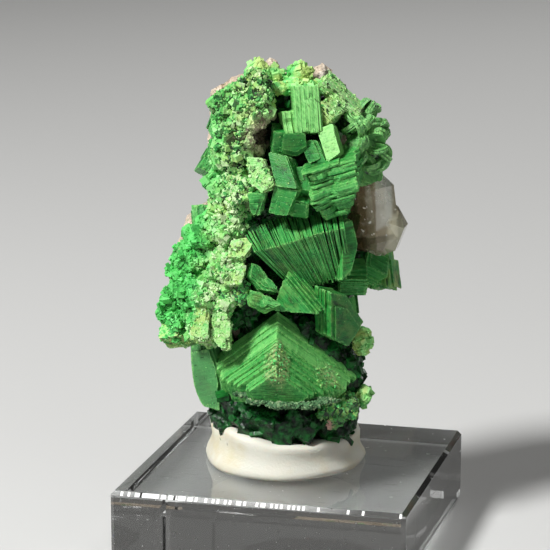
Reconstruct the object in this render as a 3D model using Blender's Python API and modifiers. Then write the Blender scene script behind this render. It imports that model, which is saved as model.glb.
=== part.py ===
"""Torbernite with smoky quartz on pale matrix, set in mounting putty on a clear acrylic block.

The frame stands on the block: origin at the middle of its underside, X and Y along its sides.
The specimen is described in its own turned frame, in millimetres: u to its right, v into its
depth, z up from the block's top.
"""
import math
import random

import bmesh
import bpy
from mathutils import Matrix, Vector

MM = 0.001

BLOCK_SIDE = 25.4
BLOCK_HEIGHT = 6.35
BLOCK_BEVEL = 0.35
TURN = math.radians(14.6)
GAP = 0.3

PUTTY_RADIUS = 6.75
PUTTY_HEIGHT = 3.6
PUTTY_LIP = 0.8
PUTTY_LIP_TURN = math.radians(140)
PUTTY_CENTRE = (-0.75, 0.4)
PUTTY_AROUND = 28
PUTTY_PROFILE = [
    (0.0, 1.0),
    (0.12, 1.03),
    (0.3, 0.99),
    (0.6, 0.955),
    (0.82, 0.97),
    (0.95, 0.95),
    (1.0, 0.88),
]

QUARTZ_SIDES = 6
QUARTZ_ROOM = 0.48
MATRIX_ROOM = 0.36

SIDE_CRYSTALS = 15
FOOT_CRYSTALS = 20
CRUST_PLATES = 80
CRUST_PLATE_WIDTH = (1.0, 1.9)

FAN_START = (-3.2, -6.0, 19.95)
FAN_END = (4.1, -5.6, 21.9)
FAN_SLANTS = (42, 8)
FAN_PLATES = 9
FAN_PLATE_THICKNESS = 0.98
PLATE_OVERLAP = 1.12
FAN_PLATE = [(0.0, 0.0), (4.5, 1.5), (2.8, 5.2), (-1.7, 3.6)]
LOW_TABLET = [(0.0, 3.0), (-5.6, -2.3), (-5.0, -5.2), (4.6, -5.6), (6.8, -3.3)]
LOW_TABLET_FRONT = [(x * 0.85, y * 0.85) for x, y in LOW_TABLET]
LOW_AXIS = (-0.04, -0.90, -0.44)

HEART_SIDE = 0.8
CORE_HEART = (0.0, -1.0, 16.0)
QUARTZ_HEART = (6.8, 0.9, 21.5)
MATRIX_HEART = (-1.0, 3.4, 20.0)

COLLECTION = "torbernite_specimen"
CUTTERS = "cutters"


def remove_everything():
    for thing in list(bpy.data.objects):
        bpy.data.objects.remove(thing, do_unlink=True)


def collection(name):
    made = bpy.data.collections.new(name)
    bpy.context.scene.collection.children.link(made)
    return made


def material(name, colour, roughness, transmission=0.0, ior=1.5):
    made = bpy.data.materials.new(name)
    made.use_nodes = True
    shader = made.node_tree.nodes["Principled BSDF"]
    shader.inputs["Base Color"].default_value = (*colour, 1.0)
    shader.inputs["Roughness"].default_value = roughness
    shader.inputs["Metallic"].default_value = 0.0
    shader.inputs["Transmission Weight"].default_value = transmission
    shader.inputs["IOR"].default_value = ior
    made.diffuse_color = (*colour, 1.0)
    return made


def add_object(name, bm, group):
    mesh = bpy.data.meshes.new(name)
    bm.to_mesh(mesh)
    bm.free()
    made = bpy.data.objects.new(name, mesh)
    group.objects.link(made)
    return made


def frame(centre, axis, side):
    """The place of a crystal: its plates lie in X and Y, stacked along the axis, with X near side."""
    z = Vector(axis).normalized()
    x = Vector(side)
    x = (x - z * x.dot(z)).normalized()
    y = z.cross(x)
    turn = Matrix((x, y, z)).transposed().to_4x4()
    return Matrix.Translation(Vector(centre)) @ turn


def rectangle(width, depth):
    w = width / 2
    d = depth / 2
    return [(w, -d), (w, d), (-w, d), (-w, -d)]


def add_prism(bm, outline, bottom, top, place):
    """One plate with flat faces: the outline swept from bottom to top, in millimetres."""
    low = [bm.verts.new(place @ Vector((x, y, bottom))) for x, y in outline]
    high = [bm.verts.new(place @ Vector((x, y, top))) for x, y in outline]
    bm.faces.new(list(reversed(low)))
    bm.faces.new(high)
    count = len(outline)
    for i in range(count):
        j = (i + 1) % count
        bm.faces.new((low[i], low[j], high[j], high[i]))


def add_stack(bm, centre, axis, side, outline, height, layers=1, taper=1.0, ragged=0.0, foot=1.0,
              lean=(0.0, 0.0), seed=1):
    """A tabular crystal as a pile of plates. Foot narrows the lower half, and lean pushes the top aside."""
    rng = random.Random(seed)
    place = frame(centre, axis, side)
    step = height / layers
    for i in range(layers):
        part = i / max(layers - 1, 1)
        swell = foot + (1 - foot) * min(part * 2, 1.0)
        scale = swell * (1 + (taper - 1) * part) + rng.uniform(-ragged, ragged)
        shift = Vector((rng.uniform(-ragged, ragged), rng.uniform(-ragged, ragged), 0)) * 1.5
        shift += Vector((*lean, 0)) * (part - 0.5)
        turned = Matrix.Rotation(rng.uniform(-ragged, ragged) * 0.6, 4, "Z")
        here = place @ Matrix.Translation(shift) @ turned @ Matrix.Scale(scale, 4, (1, 0, 0))
        here = here @ Matrix.Scale(scale, 4, (0, 1, 0))
        bottom = i * step - height / 2
        add_prism(bm, outline, bottom, bottom + step * PLATE_OVERLAP, here)


def add_facing(bm, corners, axis, height, layers=1, taper=1.0, ragged=0.0, seed=1):
    """A tabular crystal that shows this flat face, with its plates piled behind it."""
    points = [Vector(corner) for corner in corners]
    side = points[1] - points[0]
    centre = sum(points, Vector()) / len(points) - Vector(axis).normalized() * height / 2
    back = frame(centre, axis, side).inverted()
    outline = [tuple((back @ point).xy) for point in points]
    add_stack(bm, centre, axis, side, outline, height, layers, taper, ragged, seed=seed)


def add_fan(bm):
    """Plates that open like a fan: each hangs from a point of the ridge, at its own slant."""
    rng = random.Random(5)
    for i in range(FAN_PLATES):
        part = i / (FAN_PLATES - 1)
        corner = Vector(FAN_START).lerp(Vector(FAN_END), part)
        slant = FAN_SLANTS[0] + (FAN_SLANTS[1] - FAN_SLANTS[0]) * part + rng.uniform(-1.5, 1.5)
        down = Vector((math.sin(math.radians(slant)), 0.0, -math.cos(math.radians(slant))))
        axis = down.cross(Vector((0.0, 1.0, 0.0)))
        place = frame(corner, axis, down)
        size = rng.uniform(0.93, 1.04)
        rim = [(x * size, y * size) for x, y in FAN_PLATE]
        add_prism(bm, rim, -FAN_PLATE_THICKNESS / 2, FAN_PLATE_THICKNESS / 2, place)


def add_lump(bm, centre, size, seed, rough=0.16, grow=0.0):
    """A broken lump: a coarse ball with its corners pushed in and out."""
    rng = random.Random(seed)
    ball = bmesh.ops.create_icosphere(bm, subdivisions=1, radius=1.0)
    for vert in ball["verts"]:
        push = 1 + rng.uniform(-rough, rough)
        radii = Vector([s + grow for s in size])
        vert.co = Vector(centre) + vert.co * radii * push


def add_crust_plates(bm):
    """Small plates grown over the crust's open sides, each half sunk in what it grows from."""
    rng = random.Random(140)
    placed = 0
    while placed < CRUST_PLATES:
        centre, size = CRUST[rng.randrange(len(CRUST))]
        out = Vector((rng.gauss(-0.25, 0.7), rng.gauss(-0.7, 0.6), rng.gauss(0.15, 0.6)))
        if out.length < 0.2:
            continue
        out.normalize()
        spot = Vector(centre) + out * Vector(size) * 0.97
        tilt = Vector((rng.uniform(-1, 1), rng.uniform(-1, 1), rng.uniform(-1, 1)))
        axis = (out + tilt * 0.9).normalized()
        side = Vector((rng.uniform(-1, 1), rng.uniform(-1, 1), rng.uniform(-1, 1)))
        wide = rng.uniform(*CRUST_PLATE_WIDTH)
        thick = wide * rng.uniform(0.35, 0.6)
        add_prism(bm, rectangle(wide, wide * rng.uniform(0.8, 1.1)), -thick / 2, thick / 2,
                  frame(spot, axis, side))
        placed += 1


CORE = [
    ((0.6, -0.2, 31.0), (3.6, 2.7, 2.7)),
    ((0.3, -0.2, 26.6), (4.4, 3.1, 3.6)),
    ((0.2, -0.2, 21.4), (5.0, 3.3, 3.8)),
    ((1.0, -0.1, 16.6), (5.2, 3.4, 3.8)),
    ((-0.3, 0.0, 11.2), (5.8, 3.8, 4.0)),
    ((4.5, -0.4, 8.4), (1.9, 2.2, 3.0)),
    ((-4.2, -2.0, 15.0), (1.9, 1.6, 2.4)),
    ((-3.2, -2.0, 20.2), (1.7, 1.6, 2.4)),
    ((-0.6, 0.0, 6.2), (5.5, 4.8, 3.6)),
]

CRUST = [
    ((-3.2, -2.9, 31.9), (1.8, 1.6, 2.2)),
    ((-4.9, -1.6, 31.4), (2.0, 1.7, 2.0)),
    ((-4.2, -2.4, 28.8), (2.0, 1.7, 2.0)),
    ((-5.4, -1.6, 27.4), (2.0, 1.8, 2.1)),
    ((-4.6, -2.6, 25.0), (1.8, 1.6, 2.0)),
    ((-5.5, -1.6, 23.8), (2.0, 1.8, 2.2)),
    ((-5.2, -2.6, 21.4), (1.6, 1.5, 2.0)),
    ((-6.6, -1.4, 20.6), (2.2, 1.9, 2.2)),
    ((-5.6, -3.2, 18.4), (1.8, 1.6, 2.0)),
    ((-8.2, -0.4, 18.2), (2.0, 2.0, 2.2)),
    ((-6.7, -3.1, 15.6), (2.1, 1.7, 2.0)),
    ((-8.9, -0.6, 15.4), (2.0, 2.0, 2.2)),
    ((-7.2, -3.0, 12.9), (2.1, 1.6, 1.9)),
    ((-9.3, -0.4, 12.9), (1.7, 1.9, 1.8)),
]

CROWN = [
    ((-2.9, -0.7, 33.6), (1.3, 1.2, 1.9)),
    ((-1.7, -0.3, 33.4), (1.1, 1.0, 1.5)),
    ((0.5, -0.2, 33.9), (1.2, 1.0, 1.2)),
    ((-0.4, -0.8, 33.0), (2.6, 1.0, 0.7)),
    ((-0.9, -1.9, 33.1), (1.2, 0.8, 0.5)),
    ((0.6, -2.0, 33.3), (1.3, 0.8, 0.5)),
    ((1.9, -1.9, 33.1), (1.1, 0.8, 0.6)),
    ((6.0, -1.6, 11.2), (0.9, 0.9, 1.4)),
    ((6.1, -1.2, 6.1), (0.8, 0.8, 1.1)),
]

ROSETTE = [
    ((5.0, -1.5, 29.9), (1.3, 1.3, 1.3)),
    ((6.4, -0.9, 29.2), (1.2, 1.3, 1.3)),
    ((5.2, -2.0, 28.0), (1.1, 1.2, 1.2)),
    ((6.6, -1.0, 27.4), (1.2, 1.3, 1.3)),
    ((6.0, -0.8, 26.2), (1.1, 1.3, 1.0)),
    ((5.6, 0.1, 30.7), (1.2, 1.3, 1.0)),
]

LEDGE = [
    ((-4.0, -5.6, 7.5), (1.5, 0.6, 0.26)),
    ((-2.6, -6.4, 7.1), (1.6, 0.6, 0.32)),
    ((-0.9, -6.9, 6.9), (1.7, 0.6, 0.34)),
    ((1.0, -6.9, 6.9), (1.6, 0.6, 0.30)),
    ((2.7, -6.3, 7.1), (1.4, 0.6, 0.26)),
]

MATRIX_OUTLINE = [
    (3.4, -5.4, 4.2),
    (6.6, -5.8, 5.2),
    (10.2, -7.6, 5.4),
    (13.6, -11.0, 5.2),
    (17.4, -11.0, 5.8),
    (20.0, -9.6, 5.4),
    (22.2, -7.0, 5.2),
    (28.0, -7.8, 5.0),
    (31.4, -7.2, 4.4),
    (33.6, -3.4, 2.6),
]
MATRIX_AROUND = 11
MATRIX_MIDDLE = 3.3
MATRIX_DEPTH = 3.4
MATRIX_KNOBS = [
    ((-2.0, 1.5, 33.9), (1.0, 0.9, 1.4)),
    ((2.5, 1.7, 33.6), (1.0, 0.9, 1.3)),
    ((-7.9, 1.4, 26.4), (1.5, 0.9, 0.6)),
]


def front_crystals(bm):
    """The large crystals of the front, from the top down. Each is a pile of plates."""
    add_stack(bm, (4.0, -1.6, 32.3), (0.62, -0.3, 0.7), (0.72, 0.0, -0.68),
              rectangle(4.1, 2.2), 1.1, layers=2, ragged=0.03, seed=19)
    add_stack(bm, (2.8, -2.9, 31.1), (0.5, -0.4, 0.7), (0.4, 0.8, 0.1),
              rectangle(1.8, 1.8), 2.0, layers=2, ragged=0.03, seed=18)
    add_stack(bm, (1.0, -3.0, 31.4), (0.99, 0.1, 0.05), (0.0, 0.25, 0.97),
              rectangle(3.9, 2.6), 2.2, layers=4, ragged=0.03, seed=14)
    add_stack(bm, (-0.3, -3.5, 30.4), (0.96, 0.2, 0.1), (0.0, 0.2, 0.97),
              rectangle(2.0, 2.0), 1.4, layers=3, ragged=0.03, seed=15)
    add_facing(bm, [(1.9, -4.3, 30.0), (3.2, -4.5, 30.5), (3.9, -5.4, 28.2), (2.8, -5.4, 27.4)],
               (-0.25, -0.9, 0.30), 1.8, layers=2, ragged=0.02, seed=12)
    add_facing(bm, [(0.7, -3.7, 28.9), (1.9, -4.2, 29.1), (2.8, -4.8, 27.3), (1.6, -4.5, 26.6)],
               (-0.35, -0.9, 0.15), 2.0)
    add_facing(bm, [(-1.6, -4.6, 29.8), (0.9, -4.4, 29.9), (1.1, -3.9, 28.4), (-0.1, -3.9, 27.6),
                    (-1.8, -4.2, 28.0)], (0.1, -0.9, -0.25), 1.8)
    add_stack(bm, (3.6, -4.4, 25.3), (-0.34, -0.1, 0.93), (0.93, -0.12, 0.34), rectangle(4.2, 4.0), 4.6,
              layers=7, ragged=0.04, foot=0.5, lean=(1.4, 0.0), seed=7)
    add_facing(bm, [(-2.1, -4.2, 28.1), (-0.6, -5.0, 27.9), (0.3, -6.4, 25.4), (-1.5, -5.5, 25.4)],
               (-0.45, -0.85, 0.30), 1.7, layers=2, ragged=0.02, seed=8)
    add_facing(bm, [(-1.6, -5.1, 25.4), (0.3, -6.1, 25.2), (-0.5, -5.8, 23.0), (-2.1, -5.0, 23.0)],
               (-0.45, -0.85, 0.05), 1.7, layers=2, ragged=0.02, seed=9)
    add_facing(bm, [(-0.1, -4.2, 26.7), (1.1, -3.9, 26.8), (1.5, -5.5, 24.9), (0.3, -5.5, 25.2)],
               (0.1, -0.75, 0.65), 1.6)
    add_facing(bm, [(-0.3, -4.7, 24.4), (1.3, -4.9, 24.2), (1.3, -5.7, 23.8), (-0.2, -5.5, 24.0)],
               (0.05, -0.5, 0.85), 1.3)
    add_facing(bm, [(-3.9, -4.7, 27.7), (-2.6, -4.9, 27.6), (-1.6, -5.5, 25.6), (-2.6, -5.5, 24.9),
                    (-3.6, -5.2, 25.6)], (-0.15, -0.95, 0.2), 1.8, layers=2, ragged=0.02, seed=47)
    add_facing(bm, [(-3.9, -4.7, 24.6), (-2.3, -5.1, 24.8), (-2.9, -4.7, 22.7), (-3.5, -4.6, 22.9)],
               (-0.2, -0.95, -0.1), 1.5)
    add_facing(bm, [(4.1, -4.6, 22.2), (4.9, -4.1, 22.3), (5.4, -4.0, 20.1), (4.9, -4.6, 18.1),
                    (4.1, -5.2, 17.3)], (0.5, -0.85, 0.1), 1.2)
    add_facing(bm, [(-3.5, -5.1, 18.9), (-2.7, -5.0, 18.3), (-1.3, -5.5, 16.4), (-2.7, -5.7, 16.7),
                    (-3.7, -5.6, 17.9)], (0.3, -0.85, 0.4), 1.3, layers=2, ragged=0.03, seed=45)
    add_facing(bm, [(-3.7, -5.6, 16.6), (-2.7, -5.5, 16.3), (-1.1, -5.6, 15.2), (-2.1, -6.1, 14.9),
                    (-3.5, -6.2, 15.6)], (0.3, -0.85, 0.5), 1.1, layers=2, ragged=0.03, seed=46)
    add_facing(bm, [(-0.9, -6.1, 18.0), (2.0, -7.0, 14.5), (-1.9, -4.9, 14.4)],
               (-0.45, -0.85, -0.15), 2.2, layers=3, taper=0.85, ragged=0.02, seed=41)
    add_facing(bm, [(3.1, -6.7, 16.6), (4.4, -5.5, 16.1), (6.0, -3.9, 13.4), (4.5, -4.8, 11.5),
                    (3.2, -6.1, 12.5)], (0.62, -0.75, -0.1), 2.0, layers=2, ragged=0.02, seed=40)
    add_stack(bm, (4.9, -2.2, 16.8), (0.1, -0.4, 0.9), (1, 0.1, 0.1),
              rectangle(2.5, 2.6), 1.6, layers=2, ragged=0.03, seed=42)
    add_stack(bm, (6.7, 0.0, 17.4), (0.5, -0.5, 0.6), (1, 0.1, -0.3),
              rectangle(2.2, 2.4), 1.8, layers=2, ragged=0.03, seed=43)
    add_stack(bm, (7.6, 2.0, 16.6), (0.8, -0.3, 0.2), (0.2, 0.2, 0.9),
              rectangle(3.4, 2.6), 1.8, layers=2, ragged=0.03, seed=44)
    add_stack(bm, (-1.34, -3.76, 10.81), LOW_AXIS, (1, 0, 0), LOW_TABLET, 2.8,
              layers=2, taper=0.87, ragged=0.01, seed=3)
    add_stack(bm, (-1.46, -6.26, 9.58), LOW_AXIS, (1, 0, 0), LOW_TABLET_FRONT, 3.0,
              layers=6, taper=0.46, ragged=0.02, seed=4)


def left_crystals(bm):
    """The plates that stand out of the crust, and the prism behind it."""
    add_facing(bm, [(-5.2, -4.8, 20.6), (-4.0, -4.8, 20.9), (-3.5, -5.2, 20.3), (-4.2, -5.7, 19.3),
                    (-5.5, -5.5, 19.4)], (-0.1, -0.85, 0.5), 0.9)
    add_facing(bm, [(-5.7, -5.0, 18.8), (-4.5, -4.8, 19.1), (-4.0, -5.2, 18.2), (-4.5, -5.7, 17.0),
                    (-5.8, -5.8, 17.1)], (0.05, -0.9, 0.4), 0.9)
    add_facing(bm, [(-8.1, -4.8, 15.6), (-7.1, -4.9, 15.4), (-7.2, -5.7, 12.4), (-7.6, -5.7, 12.2),
                    (-8.7, -5.4, 12.7)], (-0.1, -0.95, 0.25), 1.4)
    add_facing(bm, [(-7.0, -4.8, 15.4), (-5.9, -4.9, 15.3), (-5.3, -5.4, 13.5), (-5.4, -5.9, 11.5),
                    (-6.1, -5.8, 11.6), (-7.0, -5.5, 12.5)], (-0.1, -0.95, 0.25), 1.4)
    add_stack(bm, (-10.0, -0.6, 11.8), (-0.4, -0.6, 0.6), (0.8, 0.1, -0.2), rectangle(2.2, 2.4), 1.6)
    add_facing(bm, [(-8.9, -1.5, 10.7), (-7.0, -2.2, 11.3), (-6.1, -2.7, 7.9), (-6.1, -2.9, 5.1),
                    (-7.6, -2.3, 5.6), (-8.6, -1.7, 7.7)], (-0.35, -0.9, 0.05), 3.4)


def side_crystals(bm):
    """Tablets that wrap round both sides and the top, on to the rock behind."""
    rng = random.Random(80)
    for i in range(SIDE_CRYSTALS):
        share = (i + 0.5) / SIDE_CRYSTALS
        angle = math.radians(-62 + 304 * share)
        out = Vector((math.cos(angle), 0.0, math.sin(angle)))
        reach_u = 5.3 if out.x > 0 else 7.0
        level = 19.0 + out.z * 13.4
        spot = Vector((out.x * reach_u - 0.6, rng.uniform(0.6, 3.2), level))
        wide = rng.uniform(2.0, 3.4)
        axis = out + Vector((0.0, rng.uniform(-0.2, 0.5), rng.uniform(-0.5, 0.5)))
        add_stack(bm, spot, axis, (rng.uniform(-1, 1), 1.0, rng.uniform(-1, 1)),
                  rectangle(wide, wide * rng.uniform(0.8, 1.1)), rng.uniform(2.0, 2.8))


def foot_crystals(bm):
    """The dark crystals round the foot, just above the putty."""
    rng = random.Random(60)
    for i in range(FOOT_CRYSTALS):
        angle = 2 * math.pi * (i + rng.uniform(-0.3, 0.3)) / FOOT_CRYSTALS
        out = Vector((math.cos(angle), math.sin(angle), 0.0))
        if out.y > 0.55:
            continue
        level = rng.uniform(3.7, 5.9)
        spot = Vector((-0.7, -0.3, level)) + Vector((out.x * 5.5, out.y * 4.6, 0.0))
        axis = out + Vector((0, 0, rng.uniform(-0.6, 0.8)))
        wide = rng.uniform(2.0, 3.2)
        add_stack(bm, spot, axis, (rng.uniform(-1, 1), 0.2, rng.uniform(-1, 1)),
                  rectangle(wide, wide * rng.uniform(0.5, 0.8)), rng.uniform(1.4, 2.0))


def torbernite_mesh():
    """Every green crystal and lump, before they are joined."""
    bm = bmesh.new()
    for lumps, seed, rough in ((CORE, 100, 0.16), (CRUST, 120, 0.12), (CROWN, 30, 0.1), (ROSETTE, 40, 0.1),
                               (LEDGE, 50, 0.14)):
        for i, (centre, size) in enumerate(lumps):
            add_lump(bm, centre, size, seed + i, rough)
    add_crust_plates(bm)
    add_fan(bm)
    front_crystals(bm)
    left_crystals(bm)
    side_crystals(bm)
    foot_crystals(bm)
    return bm


def quartz_mesh(grow=0.0):
    """Two six-sided prisms with pointed ends, grown into each other."""
    bm = bmesh.new()
    crystals = [
        ((6.6, 0.9, 21.9), (-0.12, 0.02, 1.0), (0.9, -0.4, 0.1), 2.5, 4.6, 2.2),
        ((8.0, 0.9, 20.3), (0.35, -0.1, 0.93), (0.9, 0.3, -0.3), 1.7, 2.2, 1.3),
    ]
    for centre, axis, side, radius, length, point in crystals:
        place = frame(centre, axis, side)
        reach = radius + grow
        half = length / 2 + grow / 2
        tip = point + grow / 2
        rings = ((-half - tip, 0.12), (-half, 1.0), (half, 1.0), (half + tip, 0.12))
        loops = []
        for level, share in rings:
            loop = []
            for i in range(QUARTZ_SIDES):
                angle = 2 * math.pi * i / QUARTZ_SIDES
                at = Vector((math.cos(angle) * reach * share, math.sin(angle) * reach * share, level))
                loop.append(bm.verts.new(place @ at))
            loops.append(loop)
        bm.faces.new(list(reversed(loops[0])))
        bm.faces.new(loops[-1])
        for lower, upper in zip(loops, loops[1:]):
            for i in range(QUARTZ_SIDES):
                j = (i + 1) % QUARTZ_SIDES
                bm.faces.new((lower[i], lower[j], upper[j], upper[i]))
    return bm


def matrix_mesh(grow=0.0):
    """The broken rock behind the crystals: rings of uneven corners, and two knobs that look over the top."""
    rng = random.Random(200)
    bm = bmesh.new()
    loops = []
    for level, left, right in MATRIX_OUTLINE:
        middle = (left + right) / 2
        half = (right - left) / 2
        tip = min(1.0, 0.35 + 0.1 * half)
        loop = []
        for i in range(MATRIX_AROUND):
            angle = 2 * math.pi * (i + rng.uniform(-0.2, 0.2)) / MATRIX_AROUND
            reach = rng.uniform(0.80, 1.06)
            u = middle + math.cos(angle) * (half * reach + grow)
            v = MATRIX_MIDDLE + math.sin(angle) * (MATRIX_DEPTH * reach * tip + grow)
            loop.append(bm.verts.new((u, v, level + rng.uniform(-1.0, 1.0))))
        loops.append(loop)
    for vert in loops[0]:
        vert.co.z -= grow
    for vert in loops[-1]:
        vert.co.z += grow
    bm.faces.new(list(reversed(loops[0])))
    bm.faces.new(loops[-1])
    for lower, upper in zip(loops, loops[1:]):
        for i in range(MATRIX_AROUND):
            j = (i + 1) % MATRIX_AROUND
            bm.faces.new((lower[i], lower[j], upper[j], upper[i]))
    bmesh.ops.triangulate(bm, faces=bm.faces)
    for i, (centre, size) in enumerate(MATRIX_KNOBS):
        add_lump(bm, centre, size, 200 + i, rough=0.1, grow=grow)
    return bm


def putty_mesh(grow=0.0):
    """A pressed disc with a thumbed, uneven wall and a shallow hollow top."""
    bm = bmesh.new()
    loops = []
    for level, share in PUTTY_PROFILE:
        loop = []
        for i in range(PUTTY_AROUND):
            angle = 2 * math.pi * i / PUTTY_AROUND
            wave = 0.02 * math.sin(3 * angle + 1.0) + 0.012 * math.sin(7 * angle + 4 * level)
            lip = PUTTY_LIP * level * math.cos(angle - PUTTY_LIP_TURN)
            reach = PUTTY_RADIUS * (share + wave) + grow
            at = Vector((PUTTY_CENTRE[0] + math.cos(angle) * reach,
                         PUTTY_CENTRE[1] + math.sin(angle) * reach,
                         GAP + (PUTTY_HEIGHT - GAP + grow) * level + lip))
            loop.append(bm.verts.new(at))
        loops.append(loop)
    bm.faces.new(list(reversed(loops[0])))
    bm.faces.new(loops[-1])
    for lower, upper in zip(loops, loops[1:]):
        for i in range(PUTTY_AROUND):
            j = (i + 1) % PUTTY_AROUND
            bm.faces.new((lower[i], lower[j], upper[j], upper[i]))
    return bm


def boolean(target, operation, cutter, own=False):
    """Add a Boolean; own also joins the pieces of one mesh that overlap each other."""
    step = target.modifiers.new(f"{operation.lower()}_{cutter.name}", "BOOLEAN")
    step.operation = operation
    step.solver = "EXACT"
    step.use_self = own
    step.object = cutter


def grow_together(thing, heart, specimen, cutters):
    """Join a mesh's overlapping pieces in one solid, with a small cube in its middle as the other half."""
    cube = bmesh.new()
    bmesh.ops.create_cube(cube, size=HEART_SIDE, matrix=Matrix.Translation(heart))
    seed = add_object("heart_of_" + thing.name, scaled(cube), cutters)
    seed.parent = specimen
    hide(seed)
    boolean(thing, "UNION", seed, own=True)
    settle(thing)


def settle(thing):
    """Apply the Booleans and keep the one body, without the crumbs that a cut leaves loose."""
    ready = thing.evaluated_get(bpy.context.evaluated_depsgraph_get())
    mesh = bpy.data.meshes.new_from_object(ready)
    thing.modifiers.clear()
    thing.data = mesh
    bm = bmesh.new()
    bm.from_mesh(mesh)
    islands = []
    left = set(bm.verts)
    while left:
        reached = [left.pop()]
        for vert in reached:
            near = [edge.other_vert(vert) for edge in vert.link_edges]
            fresh = [other for other in near if other in left]
            left.difference_update(fresh)
            reached.extend(fresh)
        islands.append(reached)
    islands.sort(key=len)
    crumbs = [vert for island in islands[:-1] for vert in island]
    bmesh.ops.delete(bm, geom=crumbs, context="VERTS")
    bm.to_mesh(mesh)
    bm.free()


def hide(cutter):
    cutter.hide_render = True
    cutter.display_type = "WIRE"


def scaled(bm):
    bmesh.ops.scale(bm, vec=(MM, MM, MM), verts=bm.verts)
    bmesh.ops.recalc_face_normals(bm, faces=bm.faces)
    return bm


def main():
    remove_everything()
    parts = collection(COLLECTION)
    cutters = collection(CUTTERS)

    acrylic = material("clear_acrylic", (0.93, 0.95, 0.95), 0.05, transmission=1.0, ior=1.49)
    putty_white = material("putty_white", (0.78, 0.75, 0.70), 0.75)
    green = material("torbernite_green", (0.03, 0.30, 0.09), 0.35)
    smoky = material("smoky_quartz", (0.42, 0.36, 0.32), 0.12, transmission=0.8, ior=1.54)
    pale = material("pale_matrix", (0.68, 0.62, 0.52), 0.85)

    bpy.ops.mesh.primitive_cube_add(size=1.0, location=(0, 0, BLOCK_HEIGHT * MM / 2))
    block = bpy.context.object
    block.name = "display_block"
    block.data.name = "display_block"
    block.scale = (BLOCK_SIDE * MM, BLOCK_SIDE * MM, BLOCK_HEIGHT * MM)
    bpy.ops.object.transform_apply(location=False, rotation=False, scale=True)
    for group in list(block.users_collection):
        group.objects.unlink(block)
    parts.objects.link(block)
    bevel = block.modifiers.new("polished_edges", "BEVEL")
    bevel.width = BLOCK_BEVEL * MM
    bevel.segments = 1
    block.data.materials.append(acrylic)

    specimen = bpy.data.objects.new("specimen_frame", None)
    parts.objects.link(specimen)
    specimen.location = (0, 0, BLOCK_HEIGHT * MM)
    specimen.rotation_euler = (0, 0, TURN)

    crystals = add_object("torbernite", scaled(torbernite_mesh()), parts)
    quartz = add_object("smoky_quartz", scaled(quartz_mesh()), parts)
    rock = add_object("matrix", scaled(matrix_mesh()), parts)
    putty = add_object("putty", scaled(putty_mesh()), parts)

    for thing, finish in ((crystals, green), (quartz, smoky), (rock, pale), (putty, putty_white)):
        thing.data.materials.append(finish)
        thing.parent = specimen

    room_for_quartz = add_object("room_for_quartz", scaled(quartz_mesh(QUARTZ_ROOM)), cutters)
    room_for_matrix = add_object("room_for_matrix", scaled(matrix_mesh(MATRIX_ROOM)), cutters)
    room_for_putty = add_object("room_for_putty", scaled(putty_mesh(GAP)), cutters)
    for cutter in (room_for_quartz, room_for_matrix, room_for_putty):
        cutter.parent = specimen
        hide(cutter)

    grow_together(crystals, CORE_HEART, specimen, cutters)
    for thing in (quartz, room_for_quartz):
        grow_together(thing, QUARTZ_HEART, specimen, cutters)
    for thing in (rock, room_for_matrix):
        grow_together(thing, MATRIX_HEART, specimen, cutters)
    for thing in (crystals, rock):
        boolean(thing, "DIFFERENCE", room_for_quartz)
        boolean(thing, "DIFFERENCE", room_for_putty)
    boolean(crystals, "DIFFERENCE", room_for_matrix)
    settle(crystals)
    settle(rock)


main()
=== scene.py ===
"""The looks of a torbernite specimen.

It has plated crystals, a grainy crust, smoky quartz, pale rock, putty and a clear block. Lengths and
places are the specimen's own, in millimetres and in a turned frame: u to its right, v into its depth
and z up from the block's top. TO_WORLD turns them into the frame's metres.
"""
import math
import random
from dataclasses import dataclass, replace

import bmesh
import bpy
from bpy.props import FloatProperty, FloatVectorProperty, IntProperty, PointerProperty
from mathutils import Euler, Matrix, Vector


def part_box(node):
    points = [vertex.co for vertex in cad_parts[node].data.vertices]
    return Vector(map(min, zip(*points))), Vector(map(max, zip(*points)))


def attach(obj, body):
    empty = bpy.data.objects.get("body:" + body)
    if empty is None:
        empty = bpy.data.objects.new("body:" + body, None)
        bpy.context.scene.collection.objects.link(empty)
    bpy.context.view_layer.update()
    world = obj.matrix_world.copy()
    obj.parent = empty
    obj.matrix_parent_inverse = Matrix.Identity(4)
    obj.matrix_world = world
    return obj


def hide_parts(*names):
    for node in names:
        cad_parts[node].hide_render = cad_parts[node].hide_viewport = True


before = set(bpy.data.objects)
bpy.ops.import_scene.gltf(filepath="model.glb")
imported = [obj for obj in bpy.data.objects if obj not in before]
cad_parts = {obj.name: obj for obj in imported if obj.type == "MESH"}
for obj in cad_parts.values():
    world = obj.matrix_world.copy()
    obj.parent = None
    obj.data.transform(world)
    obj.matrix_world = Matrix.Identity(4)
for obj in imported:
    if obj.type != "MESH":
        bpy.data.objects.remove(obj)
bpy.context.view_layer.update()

bl_info = {
    "name": "Torbernite Specimen",
    "version": (1, 0, 0),
    "blender": (4, 5, 0),
    "location": "View3D > Sidebar > Specimen",
    "description": "Dresses a torbernite specimen: crystals, crust, quartz, rock, putty and block",
    "category": "Object",
}

BLOCK_LOW, BLOCK_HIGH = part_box("display_block")
BODY = "root"
MM = 0.001
TURN = math.radians(14.6)
TO_WORLD = Matrix.Translation((0, 0, BLOCK_HIGH.z)) @ Matrix.Rotation(TURN, 4, "Z") @ Matrix.Scale(MM, 4)

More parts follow.
